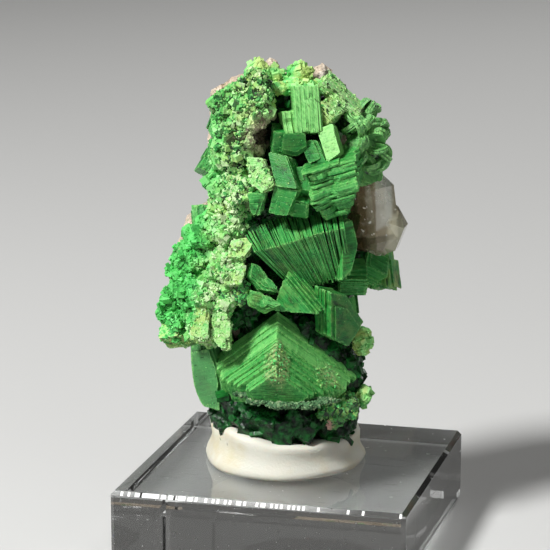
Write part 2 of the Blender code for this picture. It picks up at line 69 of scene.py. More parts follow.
# The stage, in metres and watts: each lamp has its place, its width and its power
CAMERA_PLACE = (0.0521, -0.2059, 0.07195)
CAMERA_YAW = math.radians(14.62)
CAMERA_PITCH = math.radians(13.0)
CAMERA_LENS = 165.6
CAMERA_SENSOR = 36.0
CAMERA_NEAREST = 0.01
FLOOR_SIZE = 6.0
FLOOR_GAP = 0.00005
LAMPS_AIM = (0.0, 0.0, 0.025)
LAMPS = {
    "key": ((-0.19, -0.27, 0.36), 0.10, 3.9),
    "fill": ((0.35, -0.30, 0.20), 0.30, 0.30),
    "back": ((0.10, 0.40, 0.35), 0.20, 0.7),
}
SKY_STRENGTH = 0.08

# One plate: how far the pale of a corner reaches, how much of a corner is worn off, at most what
# share of a side that takes, and how much thicker the plate is than its share of the stack
CORNER_REACH = 0.20
CORNER_CUT = (0.02, 0.18)
CORNER_SHARE = 0.3
PLATE_OVERLAP = 1.12

# How unlike the others in its stack a plate may be, and how much smaller one is that makes a slit
TURN_WOBBLE = 0.02
SPIN_WOBBLE = 0.6
SIZE_WOBBLE = 0.5
THICKNESS_WOBBLE = (0.55, 1.5)
SLIT_DEPTH = 0.09

# Thin plates that grew on a crystal's face: how many, how thick, what share of the face they cover,
# and how far the first one sinks in
STEPS_ON_A_FACE = (1, 3)
STEP_THICKNESS = (0.08, 0.22)
STEP_SHARE = (0.45, 0.88)
STEP_SINK = 0.03

# The deep pit in the crust, and the rust in it, across and up
HOLLOW = (-2.5, -3.8, 29.3)
HOLLOW_REACH = 1.2
HOLLOW_DEPTH = 0.9
PIT = (-2.3, 29.4)

# A reach that leaves nothing out, and a place that nothing is near
EVERYWHERE = (1000.0, 1000.0, 1000.0)

# The top of the crust, and how far its middle line moves across for each millimetre up
CRUST_TOP = 33.0
CRUST_TOP_ACROSS = -2.4
CRUST_SLANT = 0.19

# Crystals above this level are one piece, and those below it another
FAN_LEVEL = 21.0

# The pink spot at the foot, across and up, and how far apart the block's saw marks lie
FOOT_SPOT = (2.9, 4.6)
SAW_PITCH = 0.21

# How much of the quartz's edges is worn off, where they turn by more than this
QUARTZ_BEVEL = 0.08
QUARTZ_EDGE = math.radians(12)

# How often each face of the rock, and of a lump, is divided
ROCK_DETAIL = 4
LUMP_CUTS = 2

# The smallest grain of the dust on crystals, and how far other grains stand off their ground
SMALLEST_DUST = 0.07
GRAIN_LIFT = 0.02

CRYSTAL_IOR = 1.58


def colour(name, description, default):
    return FloatVectorProperty(name=name, description=description, subtype="COLOR", default=default)


class SpecimenSizes(bpy.types.PropertyGroup):
    """Sizes a user would change."""
    plate_thickness: FloatProperty(name="Plate thickness", description="One plate of a crystal, through",
                                   default=0.00019, min=0.00008, unit="LENGTH")
    rim_step: FloatProperty(name="Rim step", description="Distance between the corners of a plate's rim",
                            default=0.00026, min=0.0001, unit="LENGTH")
    grain_size: FloatProperty(name="Grain size", description="Widest grain of the crust",
                              default=0.00044, min=0.0001, unit="LENGTH")
    grain_density: FloatProperty(name="Grains per square millimetre", default=30.0, min=1.0,
                                 description="How thick the crust's grains lie")
    rock_relief: FloatProperty(name="Rock relief", description="How rough the pale rock is",
                               default=0.00065, unit="LENGTH")
    seed: IntProperty(name="Seed", description="Changes every random draw", default=4)


class SpecimenColours(bpy.types.PropertyGroup):
    """Colours a user would change."""
    # Deep green is also painted shade: under each plate, between the crust's grains, in its pits and in the
    # dark core
    deep: colour("Deep green", "Between the plates", (0.001, 0.018, 0.006))
    emerald: colour("Emerald", "Clean plate faces", (0.008, 0.165, 0.022))
    leaf: colour("Leaf green", "Lit plate edges", (0.070, 0.450, 0.098))
    # Mint also paints the highlights on the plates' edges
    mint: colour("Mint", "Pale, worn plates", (0.260, 0.620, 0.180))
    moss: colour("Moss", "Dull, greyish crystals", (0.095, 0.235, 0.095))
    fresh: colour("Fresh green", "Bright grains at the far side", (0.070, 0.520, 0.100))
    chalk: colour("Chalk", "Palest grains of the crust", (0.500, 0.660, 0.370))
    straw: colour("Straw", "Yellowed crust", (0.420, 0.540, 0.150))
    olive: colour("Olive", "Dark mottling of the crust", (0.085, 0.125, 0.035))
    olive_deep: colour("Deep olive", "Between the crust's yellowed grains", (0.030, 0.055, 0.012))
    hole: colour("Hole", "Pits in the overgrown plates", (0.016, 0.045, 0.010))
    rust: colour("Rust", "The rusty pit in the crust", (0.030, 0.014, 0.006))
    rubble: colour("Rubble", "Broken ground on the low tablet", (0.330, 0.400, 0.170))
    rubble_gap: colour("Rubble gaps", "Between the grains of that ground", (0.020, 0.060, 0.015))
    ledge: colour("Ledge", "Worn crust under the low tablet", (0.300, 0.340, 0.200))
    bog: colour("Bog", "Olive patches of the grains at the foot", (0.100, 0.150, 0.050))
    blush: colour("Blush", "The pink spot at the foot", (0.500, 0.300, 0.240))
    beige: colour("Beige", "Pale rock", (0.620, 0.500, 0.370))
    rock_dark: colour("Dark rock", "Darker grains of the rock", (0.360, 0.300, 0.240))
    rock_pale: colour("Whitish rock", "Palest grains of the rock", (0.800, 0.760, 0.700))
    rock_stain: colour("Rock stain", "Rusty stains on the rock", (0.360, 0.220, 0.100))
    rock_crack: colour("Rock crack", "Cracks in the rock", (0.160, 0.110, 0.070))
    grey_dark: colour("Dark grey rock", "Darker grains of its grey parts", (0.260, 0.250, 0.220))
    grey_pale: colour("Pale grey rock", "Paler grains of its grey parts", (0.500, 0.480, 0.440))
    smoke: colour("Smoke", "Smoky quartz", (0.450, 0.395, 0.265))
    smoke_dark: colour("Dark smoke", "The quartz's brown left", (0.100, 0.065, 0.030))
    facet: colour("Facet", "The quartz's pale front", (0.900, 0.920, 0.840))
    # Amber is yellow, and also painted light: it makes the quartz's lower right brighter
    amber: colour("Amber", "The quartz's yellowed lower right", (1.000, 0.960, 0.720))
    veil: colour("Veil", "Pale clouds in the quartz", (0.860, 0.830, 0.700))
    # The glint colour paints highlights: bright specks on the quartz
    glint: colour("Glint", "Bright flaws in the quartz", (1.000, 1.000, 0.950))
    putty: colour("Putty", "Mounting putty", (0.560, 0.550, 0.475))
    putty_yellow: colour("Yellowed putty", "Its yellowed patches", (0.520, 0.470, 0.320))
    putty_pale: colour("Pale putty", "Its rubbed spots", (0.620, 0.610, 0.550))
    putty_speck: colour("Putty speck", "Dirt in the putty", (0.250, 0.220, 0.180))
    acrylic: colour("Acrylic", "The clear block", (0.970, 0.985, 0.980))
    # This white also paints the glints of the saw marks on the front edge
    lint: colour("Lint", "Saw marks and lint on the block", (0.900, 0.900, 0.880))
    floor: colour("Floor", "The stage's floor", (0.500, 0.500, 0.490))
    sky: colour("Sky", "The light from all round", (1.000, 0.980, 0.940))


def sizes():
    return bpy.context.scene.specimen_sizes


def colours():
    return bpy.context.scene.specimen_colours


def new_object(name, data):
    """An object in the scene, at the origin."""
    thing = bpy.data.objects.new(name, data)
    bpy.context.scene.collection.objects.link(thing)
    return thing


def mesh_from(bm, name):
    mesh = bpy.data.meshes.new(name)
    bm.to_mesh(mesh)
    bm.free()
    return mesh


# Node trees

class Wire:
    """One output of a node. Sums on it add Math nodes to its tree."""

    def __init__(self, graph, socket):
        self.graph = graph
        self.socket = socket

    def math(self, operation, *others):
        return self.graph.math(operation, self, *others)

    def __add__(self, other):
        return self.math("ADD", other)

    __radd__ = __add__

    def __sub__(self, other):
        return self.math("SUBTRACT", other)

    def __rsub__(self, other):
        return self.graph.math("SUBTRACT", other, self)

    def __mul__(self, other):
        return self.math("MULTIPLY", other)

    __rmul__ = __mul__

    def __truediv__(self, other):
        return self.math("DIVIDE", other)

    def __pow__(self, other):
        return self.math("POWER", other)

    def between(self, low, high):
        """0 below low, 1 above high, and a smooth step between."""
        return self.graph.node("ShaderNodeMapRange", {"interpolation_type": "SMOOTHSTEP"},
                               {"Value": self, "From Min": low, "From Max": high})

    def clamped(self):
        return self.graph.node("ShaderNodeClamp", {}, {"Value": self})


class Graph:
    """A node tree, for a material or for geometry, that is built in reading order."""

    def __init__(self, tree):
        self.tree = tree

    def node(self, kind, settings=None, values=None, output=0):
        made = self.tree.nodes.new(kind)
        for name, value in (settings or {}).items():
            setattr(made, name, value)
        for key, value in (values or {}).items():
            target = made.inputs[key]
            if isinstance(value, Wire):
                self.tree.links.new(value.socket, target)
            else:
                target.default_value = value
        return Wire(self, made.outputs[output])

    def math(self, operation, *values):
        return self.node("ShaderNodeMath", {"operation": operation}, dict(enumerate(values)))

    def vector(self, operation, first, second=None, scale=None, output=0):
        values = {0: first}
        if second is not None:
            values[1] = second
        if scale is not None:
            values["Scale"] = scale
        return self.node("ShaderNodeVectorMath", {"operation": operation}, values, output)

    def parts(self, value):
        """The three numbers of a vector."""
        split = self.node("ShaderNodeSeparateXYZ", {}, {0: value}).socket.node
        return [Wire(self, split.outputs[i]) for i in range(3)]

    def joined(self, x, y, z):
        return self.node("ShaderNodeCombineXYZ", {}, {0: x, 1: y, 2: z})

    def blend(self, factor, first, second):
        """A vector between two others."""
        return self.node("ShaderNodeMix", {"data_type": "VECTOR"}, {0: factor, 4: first, 5: second}, 1)

    def noise(self, place, scale=1.0, detail=2.0, rough=0.5, w=None, output=0):
        settings = {"noise_dimensions": "4D" if w is not None else "3D"}
        values = {"Vector": place, "Scale": scale, "Detail": detail, "Roughness": rough}
        if w is not None:
            values["W"] = w
        return self.node("ShaderNodeTexNoise", settings, values, output)


class Finish(Graph):
    """A material's tree, round one Principled shader."""

    def __init__(self, name, **constants):
        self.material = bpy.data.materials.new(name)
        self.material.use_nodes = True
        super().__init__(self.material.node_tree)
        self.shader = self.tree.nodes["Principled BSDF"]
        for key, value in constants.items():
            self.shader.inputs[key.replace("_", " ")].default_value = value

    def attribute(self, name, output="Vector"):
        return self.node("ShaderNodeAttribute", {"attribute_name": name}, {}, output)

    def amount(self, name):
        """An attribute that is one number."""
        return self.attribute(name, "Fac")

    def place(self):
        """Where on the object, in millimetres."""
        coordinates = self.node("ShaderNodeTexCoord", {}, {}, "Object")
        return self.vector("SCALE", coordinates, scale=1 / MM)

    def stretched(self, place, factors):
        return self.vector("MULTIPLY", place, factors)

    def tint(self, factor, first, second):
        """A colour between two others."""
        values = {0: factor, 6: shade(first), 7: shade(second)}
        return self.node("ShaderNodeMix", {"data_type": "RGBA"}, values, 2)

    def dressed(self, height, depth, **links):
        """The material with these links, and relief of this depth in millimetres for heights of 0 to 1."""
        relief = self.node("ShaderNodeBump", {}, {"Height": height, "Distance": depth * MM, "Strength": 1.0})
        for key, value in {**links, "Normal": relief}.items():
            self.tree.links.new(value.socket, self.shader.inputs[key.replace("_", " ")])
        return self.material


def shade(colour):
    return colour if isinstance(colour, Wire) else (*colour, 1.0)


class Growth(Graph):
    """A geometry tree with named inputs, which ends in Realize Instances and Set Material."""

    def __init__(self, name):
        super().__init__(bpy.data.node_groups.new(name, "GeometryNodeTree"))
        for way in ("INPUT", "OUTPUT"):
            self.tree.interface.new_socket("Geometry", in_out=way, socket_type="NodeSocketGeometry")
        self.entry = self.tree.nodes.new("NodeGroupInput")
        self.exit = self.tree.nodes.new("NodeGroupOutput")
        self.identifiers = {}
        self.geometry = Wire(self, self.entry.outputs["Geometry"])

    def input(self, name, kind, default=None):
        socket = self.tree.interface.new_socket(name, in_out="INPUT", socket_type="NodeSocket" + kind)
        if default is not None:
            socket.default_value = default
        self.identifiers[name] = socket.identifier
        return Wire(self, self.entry.outputs[name])

    def random(self, low, high, seed, salt=0):
        """A random number for each element."""
        values = {2: low, 3: high, 8: seed + salt}
        return self.node("FunctionNodeRandomValue", {"data_type": "FLOAT"}, values, 1)

    def random_vector(self, low, high, seed, salt=0):
        values = {0: low, 1: high, 8: seed + salt}
        return self.node("FunctionNodeRandomValue", {"data_type": "FLOAT_VECTOR"}, values, 0)

    def named(self, name, kind="FLOAT"):
        return self.node("GeometryNodeInputNamedAttribute", {"data_type": kind}, {"Name": name})

    def store(self, geometry, name, value, kind="FLOAT", domain="POINT"):
        return self.node("GeometryNodeStoreNamedAttribute", {"data_type": kind, "domain": domain},
                         {"Geometry": geometry, "Name": name, "Value": value})

    def finish(self, geometry, material):
        whole = self.node("GeometryNodeRealizeInstances", {}, {"Geometry": geometry})
        dressed = self.node("GeometryNodeSetMaterial", {}, {"Geometry": whole, "Material": material})
        self.tree.links.new(dressed.socket, self.exit.inputs["Geometry"])

    def grow(self, mesh, **values):
        """Run the tree on a mesh and return the plain mesh that it gives."""
        host = new_object("growing", mesh)
        step = host.modifiers.new("growth", "NODES")
        step.node_group = self.tree
        for name, value in values.items():
            step[self.identifiers[name]] = value
        ready = host.evaluated_get(bpy.context.evaluated_depsgraph_get())
        grown = bpy.data.meshes.new_from_object(ready)
        host.modifiers.remove(step)
        bpy.data.objects.remove(host)
        return grown


# Plates, and the trees that grow them

def stand(centre, axis, side):
    """The place of a crystal: its plates lie in X and Y, stacked along the axis, with X near side."""
    z = Vector(axis).normalized()
    x = Vector(side)
    x = (x - z * x.dot(z)).normalized()
    y = z.cross(x)
    turn = Matrix((x, y, z)).transposed().to_4x4()
    return Matrix.Translation(Vector(centre)) @ turn


def rectangle(width, depth):
    w = width / 2
    d = depth / 2
    return [(w, -d), (w, d), (-w, d), (-w, -d)]


def rim_points(outline, step):
    """The outline with a corner every step or so, and how near each is to a corner of the outline."""
    points = []
    for start, end in zip(outline, outline[1:] + outline[:1]):
        run = Vector(end) - Vector(start)
        pieces = max(1, round(run.length / step))
        for i in range(pieces):
            away = min(i, pieces - i) * run.length / pieces
            points.append((Vector(start) + run * (i / pieces), math.exp(-away / CORNER_REACH)))
    return points


def worn_corners(outline, seed):
    """The outline with each corner cut off a little, by a different amount."""
    rng = random.Random(seed)
    worn = []
    for i, corner in enumerate(outline):
        here = Vector(corner)
        for other in (Vector(outline[i - 1]), Vector(outline[(i + 1) % len(outline)])):
            run = other - here
            cut = min(rng.uniform(*CORNER_CUT), run.length * CORNER_SHARE)
            worn.append(tuple(here + run.normalized() * cut))
    return worn


def plate_mesh(outline, step, thickness):
    """A thin closed plate with a middle point on each face, and what its colour needs to know.

    "plate" is a point's own place, "rim" goes from 0 in the middle to 1 at the rim, "corner" is 1 at the
    outline's corners, "upper" is 1 on the plate's upper side, and "wall" marks the faces round the rim.
    """
    around = sum(a[0] * b[1] - a[1] * b[0] for a, b in zip(outline, outline[1:] + outline[:1]))
    rim = rim_points(outline if around > 0 else outline[::-1], step)
    count = len(rim)
    middle = sum((point for point, near in rim), Vector((0, 0))) / count
    bm = bmesh.new()
    low = [bm.verts.new((p.x, p.y, -thickness / 2)) for p, near in rim]
    high = [bm.verts.new((p.x, p.y, thickness / 2)) for p, near in rim]
    under = bm.verts.new((middle.x, middle.y, -thickness / 2))
    over = bm.verts.new((middle.x, middle.y, thickness / 2))
    for i in range(count):
        j = (i + 1) % count
        bm.faces.new((low[i], low[j], high[j], high[i]))
        bm.faces.new((low[j], low[i], under))
        bm.faces.new((high[i], high[j], over))
    mesh = mesh_from(bm, "plate")
    near = [share for point, share in rim]
    place = mesh.attributes.new("plate", "FLOAT_VECTOR", "POINT")
    place.data.foreach_set("vector", [c for vert in mesh.vertices for c in vert.co])
    values = {"rim": [1.0] * 2 * count + [0.0, 0.0], "corner": near * 2 + [0.0, 0.0],
              "upper": [0.0] * count + [1.0] * count + [0.0, 1.0]}
    for name, numbers in values.items():
        mesh.attributes.new(name, "FLOAT", "POINT").data.foreach_set("value", numbers)
    mesh.attributes.new("wall", "FLOAT", "FACE").data.foreach_set("value", [1.0, 0.0, 0.0] * count)
    return mesh


def book_growth():
    """Plates laid one on another, or opened like a fan, each with its own torn rim."""
    g = Growth("book_of_plates")
    plates = g.input("Plates", "Int", 20)
    start = g.input("Start", "Vector", (0, 0, -1))
    end = g.input("End", "Vector", (0, 0, 1))
    first = g.input("First turn", "Float", 0.0)
    last = g.input("Last turn", "Float", 0.0)
    taper = g.input("Taper", "Float", 1.0)
    foot = g.input("Foot size", "Float", 1.0)
    knee = g.input("Knee", "Float", 0.4)
    shift = g.input("Shift", "Float", 0.05)
    slits = g.input("Share of slits", "Float", 0.10)
    wander = g.input("Wander", "Float", 0.0)
    contrast = g.input("Plate contrast", "Float", 0.25)
    jag = g.input("Jag", "Float", 0.06)
    warp = g.input("Warp", "Float", 0.1)
    torn = g.input("Torn end", "Float", 0.0)
    bow = g.input("Bow", "Float", 0.0)
    half_width = g.input("Half width", "Float", 1.0)
    tone = g.input("Tone", "Vector", (0, 0, 0))
    seed = g.input("Seed", "Int", 1)
    material = g.input("Finish", "Material")

    index = g.node("GeometryNodeInputIndex")
    part = index / (plates - 1)
    path = g.blend(part, start, end)
    stray = g.vector("SCALE", g.random_vector((-1, -1, -0.3), (1, 1, 0.3), seed), scale=shift)
    sway = g.noise(g.joined(index * 0.23, seed * 0.71, 0.0), 1.0, 1.0, 0.5)
    drift = g.joined((sway - 0.5) * shift * 5, (sway - 0.5) * shift * -3, 0.0)
    spot = g.vector("ADD", path, g.vector("ADD", stray, drift))
    points = g.node("GeometryNodePoints", {}, {"Count": plates, "Position": spot})
    turn = first + (last - first) * part + g.random(-TURN_WOBBLE, TURN_WOBBLE, seed, 3)
    spin = g.random(-SPIN_WOBBLE, SPIN_WOBBLE, seed, 5) * shift
    swell = foot + (1 - foot) * (part / knee).between(0.0, 1.0)
    swell = swell + (g.noise(g.joined(index * 0.31, seed * 0.53, 4.0), 1.0, 2.0, 0.6) - 0.5) * wander
    slit = g.random(0.0, 1.0, seed, 13).math("LESS_THAN", slits) * SLIT_DEPTH
    wobble = g.random(-SIZE_WOBBLE, SIZE_WOBBLE, seed, 7) * shift
    size = swell * (1 + (taper - 1) * part) + wobble - slit
    thick = g.random(*THICKNESS_WOBBLE, seed, 9)
    turned = g.node("FunctionNodeEulerToRotation", {}, {"Euler": g.joined(0.0, turn, spin)})
    piled = g.node("GeometryNodeInstanceOnPoints", {}, {
        "Points": points, "Instance": g.geometry, "Rotation": turned, "Scale": g.joined(size, size, thick)})
    kept = g.store(piled, "turn", turn, domain="INSTANCE")
    kept = g.store(kept, "part", part, domain="INSTANCE")
    kept = g.store(kept, "layer", index, domain="INSTANCE")
    kept = g.store(kept, "shade", g.random(0.0, 1.0, seed, 11), domain="INSTANCE")
    whole = g.node("GeometryNodeRealizeInstances", {}, {"Geometry": kept})

    place = g.named("plate", "FLOAT_VECTOR")
    x, y, z = g.parts(place)
    layer = g.named("layer")
    flat = g.joined(x, y, 0.0)
    rough = g.noise(flat, 1.6, 4.0, 0.65, w=layer * 0.45 + seed * 3.7) - 0.5
    tear = 1 + torn * (x / half_width).between(0.2, 1.0)
    bite = g.noise(flat, 0.8, 1.0, 0.5, w=layer * 0.13 + seed * 5.1).between(0.60, 0.68)
    reach = rough * 2 * jag * tear - bite * jag * 1.2
    push = g.vector("SCALE", g.vector("NORMALIZE", flat), scale=reach)
    broad = g.noise(flat, 0.45, 1.0, 0.5, layer * 0.09 + seed * 2.3, output=1)
    broad = g.vector("SUBTRACT", broad, (0.5, 0.5, 0.5))
    broad = g.vector("MULTIPLY", broad, g.joined(warp * 4, warp * 4, warp * 0.6))
    lift = bow * (x * x + y * y)
    offset = g.vector("ADD", g.vector("ADD", push, broad), g.joined(0.0, 0.0, lift))
    offset = g.node("ShaderNodeVectorRotate", {"rotation_type": "Y_AXIS"},
                    {"Vector": offset, "Angle": g.named("turn")})
    torn_rim = g.node("GeometryNodeSetPosition", {}, {"Geometry": whole, "Offset": offset})
    length = g.vector("LENGTH", g.vector("SUBTRACT", end, start), output=1)
    grown = g.store(torn_rim, "grow", g.joined(x, y, g.named("part") * length + z), "FLOAT_VECTOR")
    grown = g.store(grown, "tone", tone, "FLOAT_VECTOR")
    grown = g.store(grown, "contrast", contrast)
    g.finish(grown, material)
    return g


def skin_growth():
    """Rough relief over a coarse solid, pushed along its own normals. Units are millimetres."""
    g = Growth("rough_skin")
    relief = g.input("Relief", "Float", 0.2)
    grain = g.input("Grain", "Float", 0.05)
    pits = g.input("Pits", "Float", 0.0)
    hollow = g.input("Hollow", "Vector", EVERYWHERE)
    seed = g.input("Seed", "Int", 1)
    material = g.input("Finish", "Material")
    here = g.node("GeometryNodeInputPosition")
    broad = g.noise(here, 0.9, 3.0, 0.55, seed * 1.3) - 0.5
    fine = g.noise(here, 4.5, 3.0, 0.6, seed * 2.1) - 0.5
    out = g.node("GeometryNodeInputNormal")
    pit = g.noise(here, 0.85, 2.0, 0.5, seed * 0.9 + 7.0).between(0.58, 0.68)
    dent = 1 - (g.vector("DISTANCE", here, hollow, output=1) + broad * 0.8).between(0.5, HOLLOW_REACH)
    height = broad * 2 * relief + fine * 2 * grain - pit * pits - dent * HOLLOW_DEPTH
    push = g.vector("SCALE", out, scale=height)
    marked = g.store(g.geometry, "pit", (pit * pits * 2 + dent * 2).clamped())
    g.finish(g.node("GeometryNodeSetPosition", {}, {"Geometry": marked, "Offset": push}), material)
    return g


def grain_growth():
    """Small plates sown over a skin, or on one patch of it, standing at every angle."""
    g = Growth("sown_grains")
    patch = g.input("Patch", "Vector", (0, 0, 0))
    reach = g.input("Patch reach", "Vector", EVERYWHERE)
    density = g.input("Density", "Float", 10.0)
    smallest = g.input("Smallest", "Float", 0.15)
    largest = g.input("Largest", "Float", 0.45)
    lift = g.input("Lift", "Float", 0.0)
    tilt = g.input("Tilt", "Float", 1.0)
    seed = g.input("Seed", "Int", 1)
    material = g.input("Finish", "Material")

    here = g.node("GeometryNodeInputPosition")
    away = g.vector("LENGTH", g.vector("DIVIDE", g.vector("SUBTRACT", here, patch), reach), output=1)
    away = away + (g.noise(here, 1.2, 3.0, 0.6) - 0.5) * 1.2
    cover = (1 - away.between(0.6, 1.0)) * (1 - g.named("pit"))
    scatter = g.node("GeometryNodeDistributePointsOnFaces", {"distribute_method": "RANDOM"},
                     {"Mesh": g.geometry, "Density": density * cover, "Seed": seed})
    turned = Wire(g, scatter.socket.node.outputs["Rotation"])
    normal = Wire(g, scatter.socket.node.outputs["Normal"])
    loose = g.node("FunctionNodeRotateRotation", {"rotation_space": "LOCAL"}, {
        "Rotation": turned,
        "Rotate By": g.node("FunctionNodeEulerToRotation", {}, {
            "Euler": g.vector("SCALE", g.random_vector((-1, -1, -3), (1, 1, 3), seed, 2), scale=tilt)})})
    size = smallest + (largest - smallest) * g.random(0.0, 1.0, seed, 4) ** 2.2
    flat = g.random(0.25, 0.7, seed, 6)
    long = g.random(0.75, 1.2, seed, 8)
    grain = g.node("GeometryNodeMeshCube", {}, {"Size": (1, 1, 1)})
    placed = g.node("GeometryNodeSetPosition", {}, {
        "Geometry": scatter, "Offset": g.vector("SCALE", normal, scale=lift)})
    sown = g.node("GeometryNodeInstanceOnPoints", {}, {
        "Points": placed, "Instance": grain, "Rotation": loose,
        "Scale": g.joined(size, size * long, size * flat)})
    sown = g.store(sown, "chance", g.random(0.0, 1.0, seed, 10), domain="INSTANCE")
    g.finish(sown, material)
    return g


# The crystals and lumps, one by one

@dataclass
class Book:
    """One tabular crystal: where it sits, how its plates lie, and how it is worn.

    Foot is the size of the first plate over a full one, which is reached at the share knee of the stack,
    and taper that of the last. Lean is how far the last plate lies from the first, plate is a plate's
    thickness over the usual one, and pale, gold and dull are shares of mint, straw and moss.
    """
    centre: tuple
    axis: tuple
    side: tuple
    outline: list
    height: float
    taper: float = 1.0
    jag: float = 0.06
    shift: float = 0.04
    foot: float = 1.0
    knee: float = 0.4
    lean: tuple = (0.0, 0.0)
    warp: float = 0.03
    bow: float = 0.0
    pale: float = 0.25
    gold: float = 0.05
    dull: float = 0.0
    plate: float = 1.0
    wander: float = 0.0
    contrast: float = 0.25
    crusted: bool = False

    def plates(self):
        return max(3, round(self.height / (sizes().plate_thickness / MM * self.plate)))


# The outlines of the big low tablet, of its front part and of one plate of the fan
LOW_TABLET = [(0.0, 3.0), (-5.6, -2.3), (-5.0, -5.2), (4.6, -5.6), (6.8, -3.3)]
LOW_TABLET_FRONT = [(x * 0.85, y * 0.85) for x, y in LOW_TABLET]
LOW_AXIS = (-0.04, -0.90, -0.44)
FAN_PLATE = [(0.0, 0.0), (4.5, 1.5), (2.8, 5.2), (-1.7, 3.6)]

# The fan of upright plates: it runs from one place to the other, and turns from one angle to the other
FAN_START = (-3.2, -6.0, 19.95)
FAN_END = (4.1, -5.6, 21.9)
FAN_TURNS = (math.radians(48), math.radians(82))
FAN_PLATES = 72
FAN_OVERLAP = 1.15
FAN_SEED = 900


def facing(corners, axis, height, **wear):
    """A crystal that shows this flat face, with its plates stacked behind it."""
    points = [Vector(corner) for corner in corners]
    side = points[1] - points[0]
    centre = sum(points, Vector()) / len(points) - Vector(axis).normalized() * height / 2
    back = stand(centre, axis, side).inverted()
    outline = [tuple((back @ point).xy) for point in points]
    return Book(tuple(centre), axis, tuple(side), outline, height, **wear)


